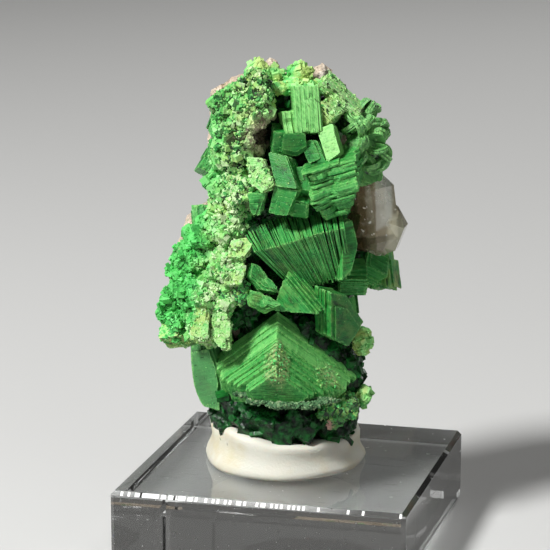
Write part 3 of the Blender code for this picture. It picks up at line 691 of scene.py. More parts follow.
# The large crystals. Their order sets each one's seed.
BOOKS = [
    # The big low tablet, and the part in front of it that steps inwards
    Book((-1.34, -3.76, 10.81), LOW_AXIS, (1, 0, 0), LOW_TABLET, 2.8, taper=0.87, shift=0.02,
         jag=0.07, warp=0.04, contrast=0.10, pale=0.62, plate=5.0),
    Book((-1.46, -6.26, 9.58), LOW_AXIS, (1, 0, 0), LOW_TABLET_FRONT, 3.0, taper=0.46, shift=0.04,
         jag=0.10, warp=0.05, wander=0.16, contrast=0.14, pale=0.42, plate=1.9),
    # The layered book at the right
    Book((3.6, -4.4, 25.3), (-0.34, -0.1, 0.93), (0.93, -0.12, 0.34), rectangle(4.2, 4.0), 4.6,
         foot=0.5, knee=0.5, lean=(1.4, 0.0), jag=0.30, shift=0.11, warp=0.20, pale=0.45, plate=1.25),
    # Two dark blocks over the fan, and two small stepped ones beside them
    facing([(-2.1, -4.2, 28.1), (-0.6, -5.0, 27.9), (0.3, -6.4, 25.4), (-1.5, -5.5, 25.4)],
           (-0.45, -0.85, 0.30), 1.7, jag=0.08, shift=0.03, pale=-0.25),
    facing([(-1.6, -5.1, 25.4), (0.3, -6.1, 25.2), (-0.5, -5.8, 23.0), (-2.1, -5.0, 23.0)],
           (-0.45, -0.85, 0.05), 1.7, jag=0.08, shift=0.03, pale=-0.25),
    facing([(-0.1, -4.2, 26.7), (1.1, -3.9, 26.8), (1.5, -5.5, 24.9), (0.3, -5.5, 25.2)],
           (0.1, -0.75, 0.65), 1.6, shift=0.02, pale=0.0, plate=2.0),
    facing([(-0.3, -4.7, 24.4), (1.3, -4.9, 24.2), (1.3, -5.7, 23.8), (-0.2, -5.5, 24.0)],
           (0.05, -0.5, 0.85), 1.3, shift=0.02, pale=0.0, plate=2.0),
    # The palest block, above the layered book, and a green one at its left
    facing([(1.9, -4.3, 30.0), (3.2, -4.5, 30.5), (3.9, -5.4, 28.2), (2.8, -5.4, 27.4)],
           (-0.25, -0.9, 0.30), 1.8, jag=0.09, pale=1.0),
    facing([(0.7, -3.7, 28.9), (1.9, -4.2, 29.1), (2.8, -4.8, 27.3), (1.6, -4.5, 26.6)],
           (-0.35, -0.9, 0.15), 2.0, shift=0.02, pale=0.05),
    # Pale blocks at the top, with a dark one under them
    Book((1.0, -3.0, 31.4), (0.99, 0.1, 0.05), (0.0, 0.25, 0.97), rectangle(3.9, 2.6), 2.2,
         jag=0.14, shift=0.04, pale=0.8),
    Book((-0.3, -3.5, 30.4), (0.96, 0.2, 0.1), (0.0, 0.2, 0.97), rectangle(2.0, 2.0), 1.4,
         jag=0.16, pale=0.9, gold=0.2),
    facing([(-1.6, -4.6, 29.8), (0.9, -4.4, 29.9), (1.1, -3.9, 28.4), (-0.1, -3.9, 27.6),
            (-1.8, -4.2, 28.0)], (0.1, -0.9, -0.25), 1.8, shift=0.03, pale=-0.1),
    # Crusted plates at the upper right
    Book((2.8, -2.9, 31.1), (0.5, -0.4, 0.7), (0.4, 0.8, 0.1), rectangle(1.8, 1.8), 2.0,
         jag=0.2, pale=0.8, gold=0.8, crusted=True),
    Book((4.0, -1.6, 32.3), (0.62, -0.3, 0.7), (0.72, 0.0, -0.68), rectangle(4.1, 2.2), 1.1,
         jag=0.28, shift=0.10, pale=0.9, gold=0.3, crusted=True),
    # The dark block at the right of the low tablet, and a narrow one above it
    facing([(3.1, -6.7, 16.6), (4.4, -5.5, 16.1), (6.0, -3.9, 13.4), (4.5, -4.8, 11.5),
            (3.2, -6.1, 12.5)], (0.62, -0.75, -0.1), 2.0, jag=0.12, shift=0.03, pale=-0.35, gold=0.12,
           plate=1.6),
    facing([(4.1, -4.6, 22.2), (4.9, -4.1, 22.3), (5.4, -4.0, 20.1), (4.9, -4.6, 18.1),
            (4.1, -5.2, 17.3)], (0.5, -0.85, 0.1), 1.2, jag=0.12, shift=0.03, pale=0.1, plate=1.5),
    # The wedge above the low tablet
    facing([(-0.9, -6.1, 18.0), (2.0, -7.0, 14.5), (-1.9, -4.9, 14.4)], (-0.45, -0.85, -0.15), 2.2,
           taper=0.85, jag=0.14, shift=0.10, pale=0.2, gold=0.15, contrast=0.6),
    # Three tablets that run back under the quartz
    Book((4.9, -2.2, 16.8), (0.1, -0.4, 0.9), (1, 0.1, 0.1), rectangle(2.5, 2.6), 1.6, jag=0.12, pale=0.2),
    Book((6.7, 0.0, 17.4), (0.5, -0.5, 0.6), (1, 0.1, -0.3), rectangle(2.2, 2.4), 1.8, jag=0.12, pale=0.3),
    Book((7.6, 2.0, 16.6), (0.8, -0.3, 0.2), (0.2, 0.2, 0.9), rectangle(3.4, 2.6), 1.8,
         jag=0.20, shift=0.08, pale=0.3, gold=0.6),
    # Two bowed slips at the left of the wedge
    facing([(-3.5, -5.1, 18.9), (-2.7, -5.0, 18.3), (-1.3, -5.5, 16.4), (-2.7, -5.7, 16.7),
            (-3.7, -5.6, 17.9)], (0.3, -0.85, 0.4), 1.3, jag=0.22, shift=0.08, bow=0.04, pale=0.4),
    facing([(-3.7, -5.6, 16.6), (-2.7, -5.5, 16.3), (-1.1, -5.6, 15.2), (-2.1, -6.1, 14.9),
            (-3.5, -6.2, 15.6)], (0.3, -0.85, 0.5), 1.1, jag=0.22, shift=0.08, bow=0.04, pale=0.5, gold=0.2),
    # The yellowed block beside the dark ones, and a slip under it
    facing([(-3.9, -4.7, 27.7), (-2.6, -4.9, 27.6), (-1.6, -5.5, 25.6), (-2.6, -5.5, 24.9),
            (-3.6, -5.2, 25.6)], (-0.15, -0.95, 0.2), 1.8, jag=0.18, shift=0.08, pale=0.9, gold=0.35,
           crusted=True),
    facing([(-3.9, -4.7, 24.6), (-2.3, -5.1, 24.8), (-2.9, -4.7, 22.7), (-3.5, -4.6, 22.9)],
           (-0.2, -0.95, -0.1), 1.5, jag=0.12, pale=0.4),
    # The dull, smooth crystal at the lower left
    facing([(-8.9, -1.5, 10.7), (-7.0, -2.2, 11.3), (-6.1, -2.7, 7.9), (-6.1, -2.9, 5.1),
            (-7.6, -2.3, 5.6), (-8.6, -1.7, 7.7)], (-0.35, -0.9, 0.05), 3.4, jag=0.10, warp=0.25,
           shift=0.03, pale=0.0, gold=0.0, dull=0.55, plate=2.5),
    # Crusted plates down the left
    facing([(-5.2, -4.8, 20.6), (-4.0, -4.8, 20.9), (-3.5, -5.2, 20.3), (-4.2, -5.7, 19.3),
            (-5.5, -5.5, 19.4)], (-0.1, -0.85, 0.5), 0.9, jag=0.16, pale=0.9, gold=0.7, crusted=True),
    facing([(-5.7, -5.0, 18.8), (-4.5, -4.8, 19.1), (-4.0, -5.2, 18.2), (-4.5, -5.7, 17.0),
            (-5.8, -5.8, 17.1)], (0.05, -0.9, 0.4), 0.9, jag=0.16, pale=0.9, gold=0.6, crusted=True),
    facing([(-8.1, -4.8, 15.6), (-7.1, -4.9, 15.4), (-7.2, -5.7, 12.4), (-7.6, -5.7, 12.2),
            (-8.7, -5.4, 12.7)], (-0.1, -0.95, 0.25), 1.4, jag=0.22, shift=0.08, pale=1.0, gold=0.9,
           crusted=True),
    facing([(-7.0, -4.8, 15.4), (-5.9, -4.9, 15.3), (-5.3, -5.4, 13.5), (-5.4, -5.9, 11.5),
            (-6.1, -5.8, 11.6), (-7.0, -5.5, 12.5)], (-0.1, -0.95, 0.25), 1.4, jag=0.18, shift=0.08,
           pale=1.0, gold=0.3, crusted=True),
    Book((-10.0, -0.6, 11.8), (-0.4, -0.6, 0.6), (0.8, 0.1, -0.2), rectangle(2.2, 2.4), 1.6,
         jag=0.2, pale=0.9, gold=0.8, crusted=True),
]

# Lumps as centre and half widths: the knobs on top, with two pale ones low at the right
CROWN = [
    ((-2.9, -0.7, 33.6), (1.3, 1.2, 1.9)),
    ((-1.7, -0.3, 33.4), (1.1, 1.0, 1.5)),
    ((0.5, -0.2, 33.9), (1.2, 1.0, 1.2)),
    ((-0.4, -0.8, 33.0), (2.6, 1.0, 0.7)),
    ((-0.9, -1.9, 33.1), (1.2, 0.8, 0.5)),
    ((0.6, -2.0, 33.3), (1.3, 0.8, 0.5)),
    ((1.9, -1.9, 33.1), (1.1, 0.8, 0.6)),
    ((6.0, -1.6, 11.2), (0.9, 0.9, 1.4)),
    ((6.1, -1.2, 6.1), (0.8, 0.8, 1.1)),
]

# Broken ground at the left of the wedge and at the foot's right
SPECKLES = [
    ((-4.4, -4.9, 16.2), (0.9, 0.6, 1.2)),
    ((3.2, -4.5, 5.3), (1.4, 0.9, 1.3)),
    ((4.6, -3.0, 5.6), (1.1, 1.1, 1.5)),
]

# Dust of grains on crystals: on which piece, where, how far round, how dense and the largest grain
PATCHES = [
    ("lower_crystals", (-1.5, -7.2, 10.4), (1.4, 1.9, 2.1), 11.0, 0.24),
    ("lower_crystals", (3.6, -6.0, 9.2), (2.2, 3.0, 2.0), 12.0, 0.22),
    ("lower_crystals", (0.0, 0.0, 0.0), EVERYWHERE, 0.4, 0.13),
    ("upper_crystals", (0.0, 0.0, 0.0), EVERYWHERE, 0.4, 0.13),
    ("crusted_crystals", (0.0, 0.0, 0.0), EVERYWHERE, 5.0, 0.30),
]

# Where the low tablet's bands are broken up, and how far round
BROKEN_SPOTS = [((-1.4, -7.2, 10.4), (1.3, 2.4, 2.2)), ((3.8, -5.8, 9.3), (2.0, 3.0, 1.8))]

# The cluster at the right shoulder
ROSETTE = [
    ((5.0, -1.5, 29.9), (1.3, 1.3, 1.3)),
    ((6.4, -0.9, 29.2), (1.2, 1.3, 1.3)),
    ((5.2, -2.0, 28.0), (1.1, 1.2, 1.2)),
    ((6.6, -1.0, 27.4), (1.2, 1.3, 1.3)),
    ((6.0, -0.8, 26.2), (1.1, 1.3, 1.0)),
    ((5.6, 0.1, 30.7), (1.2, 1.3, 1.0)),
]

# The thin crust under the low tablet
LEDGE = [
    ((-4.0, -5.6, 7.5), (1.5, 0.6, 0.26)),
    ((-2.6, -6.4, 7.1), (1.6, 0.6, 0.32)),
    ((-0.9, -6.9, 6.9), (1.7, 0.6, 0.34)),
    ((1.0, -6.9, 6.9), (1.6, 0.6, 0.30)),
    ((2.7, -6.3, 7.1), (1.4, 0.6, 0.26)),
]

# The dark mass behind the crystals, partly the mineral's own dark green and partly painted shade in the gaps
CORE = [
    ((0.6, -0.2, 31.0), (3.6, 2.7, 2.7)),
    ((0.3, -0.2, 26.6), (4.4, 3.1, 3.6)),
    ((0.2, -0.2, 21.4), (5.0, 3.3, 3.8)),
    ((1.0, -0.1, 16.6), (5.2, 3.4, 3.8)),
    ((-0.3, 0.0, 11.2), (5.8, 3.8, 4.0)),
    ((4.5, -0.4, 8.4), (1.9, 2.2, 3.0)),
    ((-4.2, -2.0, 15.0), (1.9, 1.6, 2.4)),
    ((-3.2, -2.0, 20.2), (1.7, 1.6, 2.4)),
    ((-0.6, 0.0, 6.2), (5.5, 4.8, 3.6)),
    ((-5.2, -2.8, 13.6), (1.5, 1.0, 1.5)),
]

# The crust down the left side, from the top
CRUST = [
    ((-3.2, -2.9, 31.9), (1.8, 1.6, 2.2)),
    ((-4.9, -1.6, 31.4), (2.0, 1.7, 2.0)),
    ((-4.2, -2.4, 28.8), (2.0, 1.7, 2.0)),
    ((-5.4, -1.6, 27.4), (2.0, 1.8, 2.1)),
    ((-4.6, -2.6, 25.0), (1.8, 1.6, 2.0)),
    ((-5.5, -1.6, 23.8), (2.0, 1.8, 2.2)),
    ((-5.2, -2.6, 21.4), (1.6, 1.5, 2.0)),
    ((-6.6, -1.4, 20.6), (2.2, 1.9, 2.2)),
    ((-5.6, -3.2, 18.4), (1.8, 1.6, 2.0)),
    ((-8.2, -0.4, 18.2), (2.0, 2.0, 2.2)),
    ((-6.7, -3.1, 15.6), (2.1, 1.7, 2.0)),
    ((-8.9, -0.6, 15.4), (2.0, 2.0, 2.2)),
    ((-7.2, -3.0, 12.9), (2.1, 1.6, 1.9)),
    ((-9.3, -0.4, 12.9), (1.7, 1.9, 1.8)),
]

# How many crystals each rule places, and the seed of its draws
SIDE_CRYSTALS = 15
SIDE_SEED = 80
FOOT_CRYSTALS = 20
FOOT_SEED = 60
CRUST_PLATES = 80
CRUST_SEED = 140
ROSETTE_SHEETS = 6
ROSETTE_SEED = 220

# The arc of crystals round the sides and the top: where it starts and how far it runs in degrees, its
# middle, and how far out it lies
SIDE_START = -62
SIDE_SWEEP = 304
SIDE_MIDDLE = (-0.6, 19.0)
SIDE_RIGHT = 5.3
SIDE_LEFT = 7.0
SIDE_UP = 13.4

# The ring of crystals round the foot, which is open behind
FOOT_MIDDLE = (-0.7, -0.3)
FOOT_REACH = (5.5, 4.6)
FOOT_LEVELS = (3.7, 5.9)
FOOT_BEHIND = 0.55

PETAL_REACH = 0.95
PETAL_TURNS = [math.tau * i / 14 for i in range(14)]


# Crystals that a rule places

def any_way(rng):
    return Vector([rng.uniform(-1, 1) for _ in range(3)])


def side_books():
    """Tablets that wrap round both sides and the top, on to the rock behind."""
    rng = random.Random(SIDE_SEED)
    for i in range(SIDE_CRYSTALS):
        angle = math.radians(SIDE_START + SIDE_SWEEP * ((i + 0.5) / SIDE_CRYSTALS))
        out = Vector((math.cos(angle), 0.0, math.sin(angle)))
        reach = SIDE_RIGHT if out.x > 0 else SIDE_LEFT
        level = SIDE_MIDDLE[1] + out.z * SIDE_UP
        spot = Vector((SIDE_MIDDLE[0] + out.x * reach, rng.uniform(0.6, 3.2), level))
        wide = rng.uniform(2.0, 3.4)
        axis = out + Vector((0.0, rng.uniform(-0.2, 0.5), rng.uniform(-0.5, 0.5)))
        side = (rng.uniform(-1, 1), 1.0, rng.uniform(-1, 1))
        yield Book(spot, axis, side, rectangle(wide, wide * rng.uniform(0.8, 1.1)), rng.uniform(2.0, 2.8),
                   plate=1.3, pale=0.4)


def foot_books():
    """The dark crystals round the foot, just above the putty."""
    rng = random.Random(FOOT_SEED)
    for i in range(FOOT_CRYSTALS):
        angle = math.tau * (i + rng.uniform(-0.3, 0.3)) / FOOT_CRYSTALS
        out = Vector((math.cos(angle), math.sin(angle), 0.0))
        if out.y > FOOT_BEHIND:
            continue
        level = rng.uniform(*FOOT_LEVELS)
        spot = Vector((*FOOT_MIDDLE, level)) + Vector((out.x * FOOT_REACH[0], out.y * FOOT_REACH[1], 0.0))
        axis = out + Vector((0, 0, rng.uniform(-0.6, 0.8)))
        wide = rng.uniform(2.0, 3.2)
        side = (rng.uniform(-1, 1), 0.2, rng.uniform(-1, 1))
        yield Book(spot, axis, side, rectangle(wide, wide * rng.uniform(0.5, 0.8)), rng.uniform(1.4, 2.0))


def crust_books():
    """The larger plates that stand out of the crust."""
    rng = random.Random(CRUST_SEED)
    placed = 0
    while placed < CRUST_PLATES:
        centre, size = CRUST[rng.randrange(len(CRUST))]
        out = Vector((rng.gauss(-0.25, 0.7), rng.gauss(-0.7, 0.6), rng.gauss(0.15, 0.6)))
        if out.length < 0.2:
            continue
        out.normalize()
        spot = Vector(centre) + out * Vector(size) * 0.97
        axis = (out + any_way(rng) * 0.9).normalized()
        side = any_way(rng)
        wide = rng.uniform(1.0, 1.9)
        thick = wide * rng.uniform(0.35, 0.6)
        outline = rectangle(wide, wide * rng.uniform(0.8, 1.1))
        placed += 1
        yield Book(spot, axis, side, outline, thick)


def rosette_books():
    """Curved sheets wrapped round the rosette's lumps."""
    rng = random.Random(ROSETTE_SEED)
    petal = [(math.cos(turn) * PETAL_REACH, math.sin(turn) * PETAL_REACH) for turn in PETAL_TURNS]
    for centre, size in ROSETTE:
        for _ in range(ROSETTE_SHEETS):
            out = Vector((rng.gauss(0.5, 0.6), rng.gauss(-0.8, 0.4), rng.gauss(0.1, 0.7))).normalized()
            spot = Vector(centre) + out * Vector(size) * 0.75
            axis = out.cross(any_way(rng)) + out * rng.uniform(-0.2, 0.5)
            yield Book(spot, axis, out, petal, rng.uniform(0.4, 0.6), jag=0.14, shift=0.08, warp=0.10,
                       bow=0.22, pale=0.7, dull=0.6)


def growth_steps(book, rng):
    """Thin plates that grew on a crystal's face, each flush with one of its corners."""
    top = book.height / 2 - STEP_SINK
    place = stand(book.centre, book.axis, book.side)
    for _ in range(rng.randint(*STEPS_ON_A_FACE)):
        thick = rng.uniform(*STEP_THICKNESS)
        share = rng.uniform(*STEP_SHARE)
        corner = Vector(rng.choice(book.outline))
        outline = [tuple(corner + (Vector(point) - corner) * share) for point in book.outline]
        yield replace(book, centre=tuple(place @ Vector((0.0, 0.0, top + thick / 2))), outline=outline,
                      height=thick, foot=1.0, lean=(0.0, 0.0), plate=1.0, shift=0.02)
        top += thick


# Meshes

def half_size(outline):
    return max(abs(x) for x, y in outline), max(abs(y) for x, y in outline)


def grow_book(growth, book, finish, seed):
    """One crystal's plates as a plain mesh, in the frame's metres."""
    plates = book.plates()
    pitch = book.height / plates
    mesh = plate_mesh(worn_corners(book.outline, seed), sizes().rim_step / MM, pitch * PLATE_OVERLAP)
    reach = book.height / 2 - pitch / 2
    lean = Vector(book.lean) / 2
    grown = growth.grow(mesh, **{
        "Plates": plates, "Start": (-lean.x, -lean.y, -reach), "End": (lean.x, lean.y, reach),
        "Taper": book.taper, "Foot size": book.foot, "Knee": book.knee,
        "Wander": book.wander, "Plate contrast": book.contrast,
        "Shift": book.shift, "Jag": book.jag, "Warp": book.warp, "Bow": book.bow,
        "Half width": half_size(book.outline)[0], "Tone": (book.pale, book.gold, book.dull),
        "Seed": seed, "Finish": finish})
    grown.transform(TO_WORLD @ stand(book.centre, book.axis, book.side))
    return grown


def join_meshes(name, meshes):
    """One object at the origin from several meshes, with their attributes kept."""
    made = [new_object(name, mesh) for mesh in meshes]
    if len(made) > 1:
        with bpy.context.temp_override(active_object=made[0], object=made[0], selected_editable_objects=made,
                                       selected_objects=made):
            bpy.ops.object.join()
    made[0].name = name
    made[0].data.name = name
    return made[0]


def lump_mesh(lumps, seed, rough):
    """The coarse lumps of the construction, before their fine relief. Units are millimetres."""
    bm = bmesh.new()
    for i, (centre, size) in enumerate(lumps):
        rng = random.Random(seed + i)
        ball = bmesh.ops.create_icosphere(bm, subdivisions=1, radius=1.0)
        for vert in ball["verts"]:
            push = 1 + rng.uniform(-rough, rough)
            vert.co = Vector(centre) + vert.co * Vector(size) * push
    for _ in range(LUMP_CUTS):
        bmesh.ops.subdivide_edges(bm, edges=bm.edges, cuts=1, use_grid_fill=True)
    return mesh_from(bm, "lumps")


def crude_mesh(book):
    """A crystal as one plain block, for what grows over it."""
    bm = bmesh.new()
    wide, deep = half_size(book.outline)
    place = stand(book.centre, book.axis, book.side) @ Matrix.Diagonal((wide * 2, deep * 2, book.height, 1))
    bmesh.ops.create_cube(bm, size=1.0, matrix=place)
    return mesh_from(bm, "crude")


def settle(thing):
    """Turn an object's modifiers into its mesh."""
    ready = thing.evaluated_get(bpy.context.evaluated_depsgraph_get())
    mesh = bpy.data.meshes.new_from_object(ready)
    thing.modifiers.clear()
    thing.data = mesh


def voxel_skin(meshes, voxel):
    """One closed skin round overlapping solids."""
    host = join_meshes("solids", meshes)
    skin = host.modifiers.new("skin", "REMESH")
    skin.mode = "VOXEL"
    skin.voxel_size = voxel
    settle(host)
    mesh = host.data
    bpy.data.objects.remove(host)
    return mesh


def copy_of_node(node, name):
    """A welded copy of a construction solid, to be given finer relief."""
    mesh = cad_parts[node].data.copy()
    bm = bmesh.new()
    bm.from_mesh(mesh)
    bmesh.ops.remove_doubles(bm, verts=bm.verts, dist=1e-6)
    bmesh.ops.dissolve_limit(bm, angle_limit=math.radians(1), verts=bm.verts, edges=bm.edges)
    bm.to_mesh(mesh)
    bm.free()
    return new_object(name, mesh)


def rock_growth():
    """Fine broken relief over a coarse solid."""
    g = Growth("broken_rock")
    relief = g.input("Relief", "Float", 0.0004)
    level = g.input("Level", "Int", ROCK_DETAIL)
    seed = g.input("Seed", "Int", 1)
    material = g.input("Finish", "Material")
    fine = g.node("GeometryNodeSubdivideMesh", {}, {"Mesh": g.geometry, "Level": level})
    here = g.vector("SCALE", g.node("GeometryNodeInputPosition"), scale=1 / MM)
    chips = g.node("ShaderNodeTexVoronoi", {"feature": "F1", "distance": "CHEBYCHEV"},
                   {"Vector": here, "Scale": 0.75, "Randomness": 1.0})
    small = g.node("ShaderNodeTexVoronoi", {"feature": "F1"}, {"Vector": here, "Scale": 2.2})
    broad = g.noise(here, 0.5, 5.0, 0.6, w=seed * 1.7)
    height = broad * 1.6 - 0.8 + chips * 0.5 - 0.35 + small * 0.25
    out = g.node("GeometryNodeInputNormal")
    rough = g.node("GeometryNodeSetPosition", {}, {
        "Geometry": fine, "Offset": g.vector("SCALE", out, scale=height * relief)})
    g.finish(rough, material)
    return g


# Finishes

def across_and_up(f, place):
    """Millimetres to the specimen's right, and above the block's top."""
    x, y, z = f.parts(place)
    return x * math.cos(TURN) + y * math.sin(TURN), z - BLOCK_HIGH.z / MM


def overgrown(f, place):
    """Where the low tablet's bands are broken up into olive grains, and those grains' own pattern."""
    x, y = f.parts(place)[:2]
    across, up = across_and_up(f, place)
    here = f.joined(across, y * math.cos(TURN) - x * math.sin(TURN), up)
    wave = (f.noise(place, 1.3, 3.0, 0.6) - 0.5) * 1.1
    cover = 0.0
    for centre, reach in BROKEN_SPOTS:
        away = f.vector("LENGTH", f.vector("DIVIDE", f.vector("SUBTRACT", here, centre), reach), output=1)
        cover = cover + (1 - (away + wave).between(0.55, 1.0))
    return cover.clamped(), f.noise(place, 3.4, 4.0, 0.7)


def crystal_finish():
    """Green plates: striped along the stack on their rims, smooth and pearly on their faces, with painted
    shade between the plates and painted highlights on their edges.
    """
    c = colours()
    f = Finish("torbernite_plates", IOR=CRYSTAL_IOR, Specular_IOR_Level=0.28, Subsurface_Weight=0.12,
               Subsurface_Scale=0.0006, Subsurface_Radius=(0.3, 1.0, 0.4))
    grow = f.attribute("grow")
    pale, gold, dull = f.parts(f.attribute("tone"))
    wall = f.amount("wall")
    rim = f.amount("rim")
    corner = f.amount("corner")
    upper = f.amount("upper")
    contrast = f.amount("contrast")
    place = f.place()
    moved = f.vector("ADD", grow, f.stretched(place, (3.1, 2.3, 1.7)))
    streaks = f.noise(f.stretched(grow, (0.35, 0.35, 7.0)), 1.0, 4.0, 0.6)
    bands = f.noise(f.stretched(grow, (0.12, 0.12, 1.7)), 1.0, 2.0, 0.5) - 0.5
    scratches = f.noise(f.stretched(grow, (0.4, 3.4, 1.0)), 1.0, 4.0, 0.6)
    hairs = f.noise(f.stretched(grow, (1.1, 10.0, 2.0)), 1.0, 3.0, 0.6)
    cloud = f.noise(place, 0.55, 4.0, 0.6)
    grit = f.noise(moved, 1.6, 4.0, 0.7)

    # How light each point is, on a rim and on a face, with painted shade and painted highlights in it
    on_wall = (f.amount("shade") - 0.5) * contrast + streaks * 0.9 + bands * 0.9 + 0.24
    # Painted shade: each plate's wall darkens towards its lower side, as in the crevice under it
    on_wall = on_wall - (1 - upper.between(0.0, 0.45)) * (0.10 + contrast * 0.6)
    # Faces grow lighter towards the rim: a painted sheen
    on_face = cloud * 0.7 + scratches * 1.3 + hairs * 0.8 + rim * 0.25 - 1.08
    lit = wall * on_wall + (1 - wall) * on_face + (grit - 0.5) * 0.5
    base = f.tint(lit.between(-0.05, 0.50), c.deep, c.emerald)
    base = f.tint(lit.between(0.25, 0.80) * (0.30 + pale * 0.7), base, c.leaf)
    worn = (lit * 0.6 + grit * 0.6 + pale * 0.8 - 0.85).between(0.0, 0.7)
    base = f.tint(worn * (0.25 + pale * 0.75), base, c.mint)

    # Worn edges, partly painted highlight on the rims, the corners and the top of each plate's wall, and fine
    # pale threads along the stack
    thread = f.noise(f.stretched(grow, (0.5, 0.5, 8.0)), 1.0, 3.0, 0.6).between(0.60, 0.68) * wall
    edge = rim.between(0.86, 1.0) * (1 - wall)
    # The top of each plate's wall gets a painted highlight line
    edge = edge + (corner.between(0.3, 1.0) + upper.between(0.7, 1.0) * 0.7) * wall
    edge = edge * grit.between(0.42, 0.62) + thread * 0.6
    base = f.tint(dull * 0.8, base, c.moss)
    base = f.tint(edge.clamped() * (0.62 + pale * 0.3), base, c.mint)

    # Straw stains, pale chips and dark cracks
    stain = f.noise(place, 0.9, 5.0, 0.65).between(0.42, 0.66) * (streaks * wall + 1 - wall)
    base = f.tint((stain * (gold * 0.9 + 0.03)).clamped(), base, c.straw)
    chips = f.noise(place, 5.0, 3.0, 0.7).between(0.60, 0.70) * (cloud + 0.2).clamped()
    base = f.tint(chips * (0.35 + pale * 0.3), base, c.mint)
    cracks = f.noise(f.stretched(moved, (0.6, 1.6, 2.4)), 1.0, 4.0, 0.65).between(0.62, 0.70)
    base = f.tint(cracks * 0.75, base, c.deep)

    broken, rubble = overgrown(f, place)
    base = f.tint(broken * rubble.between(0.38, 0.56) * 0.85, base, c.rubble)
    base = f.tint(broken * (1 - rubble.between(0.34, 0.46)) * 0.85, base, c.rubble_gap)
    lines = streaks * wall * 0.6 + (scratches * 0.3 + hairs * 0.3) * (1 - wall) - cracks * 0.5
    return f.dressed(lines * (1 - broken * 0.7) + grit * 0.5 + broken * rubble * 1.2, 0.12,
                     Base_Color=base, Roughness=0.26 + grit * 0.35 + broken * 0.2)


def crusted_finish():
    """Plates overgrown with pale crust: pitted, with lighter rims and long scratches."""
    c = colours()
    f = Finish("torbernite_crusted_plates", IOR=CRYSTAL_IOR, Specular_IOR_Level=0.3)
    gold = f.parts(f.attribute("tone"))[1]
    place = f.place()
    rim = f.amount("rim").between(0.88, 1.0)
    upper = f.amount("upper").between(0.3, 1.0)
    pores = f.noise(place, 3.4, 5.0, 0.72)
    lines = f.noise(f.stretched(f.attribute("grow"), (0.5, 3.2, 4.0)), 1.0, 3.0, 0.6)
    light = pores * 1.2 + lines * 0.5 + rim * upper * 0.15 - 0.30
    base = f.tint(light.between(0.18, 0.42), c.deep, c.leaf)
    base = f.tint(light.between(0.32, 0.58), base, c.mint)
    base = f.tint(light.between(0.50, 0.75) * 0.55, base, c.chalk)
    yellow = f.noise(place, 0.8, 3.0, 0.6).between(0.40, 0.60) * gold
    base = f.tint(yellow * light.between(0.25, 0.5) * 0.8, base, c.straw)
    holes = f.noise(place, 1.9, 3.0, 0.6).between(0.60, 0.67)
    base = f.tint(holes * 0.8, base, c.hole)
    return f.dressed(pores * 0.6 + lines * 0.3 - holes * 0.6, 0.28,
                     Base_Color=base, Roughness=0.45 + pores * 0.35)


def crust_colour(f, light):
    """Mint and straw down the front of the crust, brighter emerald at its far side, rust in its pits."""
    c = colours()
    place = f.place()
    across, up = across_and_up(f, place)
    drift = f.noise(place, 0.35, 3.0, 0.5) - 0.5
    light = light + 0.12 - up.between(19.0, 30.0) * 0.24
    middle = (up - CRUST_TOP) * CRUST_SLANT + CRUST_TOP_ACROSS
    outside = (middle - across + drift * 4).between(1.5, 3.5) * (1 - up.between(23.0, 28.0) * 0.55)
    patch = f.noise(place, 0.6, 3.0, 0.55).between(0.42, 0.64)
    base = f.tint(light.between(0.05, 0.35), f.tint(patch, c.deep, c.olive_deep), c.leaf)
    pale = f.tint(patch * 0.65, c.mint, c.straw)
    base = f.tint(light.between(0.16, 0.46) * (1 - outside * 0.8), base, pale)
    base = f.tint(light.between(0.45, 0.85) * (1 - outside * 0.7) * 0.9, base, c.chalk)
    fresh = f.tint(light.between(0.0, 0.7), c.emerald, c.fresh)
    base = f.tint(outside * 0.75, base, fresh)
    olive = f.noise(place, 1.3, 4.0, 0.65).between(0.52, 0.66) * (1 - outside * 0.8)
    base = f.tint(olive * 0.65, base, c.olive)
    bare = f.noise(place, 0.75, 3.0, 0.6).between(0.63, 0.72)
    base = f.tint(bare * 0.3, base, c.beige)
    pit = f.vector("LENGTH", f.joined(across - PIT[0], (up - PIT[1]) * 0.8, 0.0), output=1)
    near_pit = pit + drift * 1.5
    base = f.tint((1 - near_pit.between(0.7, 2.2)) * 0.6, base, c.beige)
    return f.tint((1 - near_pit.between(0.35, 0.9)) * 0.9, base, c.rust)


def grain_finish():
    """The crust's grains: each its own shade."""
    f = Finish("torbernite_grains", IOR=CRYSTAL_IOR, Specular_IOR_Level=0.28)
    grit = f.noise(f.place(), 4.0, 3.0, 0.6)
    base = crust_colour(f, f.amount("chance") * 0.75 + grit * 0.5 - 0.12)
    return f.dressed(grit, 0.04, Base_Color=base, Roughness=0.4 + grit * 0.3)


def skin_finish():
    """The crust between its grains: darker, as painted shade in the gaps between the grains, and full of
    pores.
    """
    c = colours()
    f = Finish("torbernite_crust", IOR=CRYSTAL_IOR, Specular_IOR_Level=0.28)
    pores = f.noise(f.place(), 3.6, 4.0, 0.65)
    base = crust_colour(f, pores.between(0.45, 0.75) * 0.35)
    # Pits are darkened: painted shade, with rust in them
    base = f.tint(f.amount("pit") * 0.9, base, f.tint(pores, c.deep, c.rust))
    return f.dressed(pores, 0.14, Base_Color=base, Roughness=0.5 + pores * 0.3)


def crown_finish():
    """The knobs on top: pale yellowish green, softly mottled."""
    c = colours()
    f = Finish("torbernite_crown", IOR=CRYSTAL_IOR)
    place = f.place()
    grit = f.noise(place, 3.0, 3.0, 0.6)
    light = f.noise(place, 0.8, 4.0, 0.6) * 0.9 + grit * 0.4 + f.amount("chance") * 0.25 - 0.20
    base = f.tint(light.between(0.15, 0.45), c.emerald, c.leaf)
    base = f.tint(light.between(0.35, 0.65), base, c.mint)
    base = f.tint(f.noise(place, 0.5, 3.0, 0.5).between(0.44, 0.58) * 0.85, base, c.straw)
    return f.dressed(grit, 0.08, Base_Color=base, Roughness=0.45 + grit * 0.3)


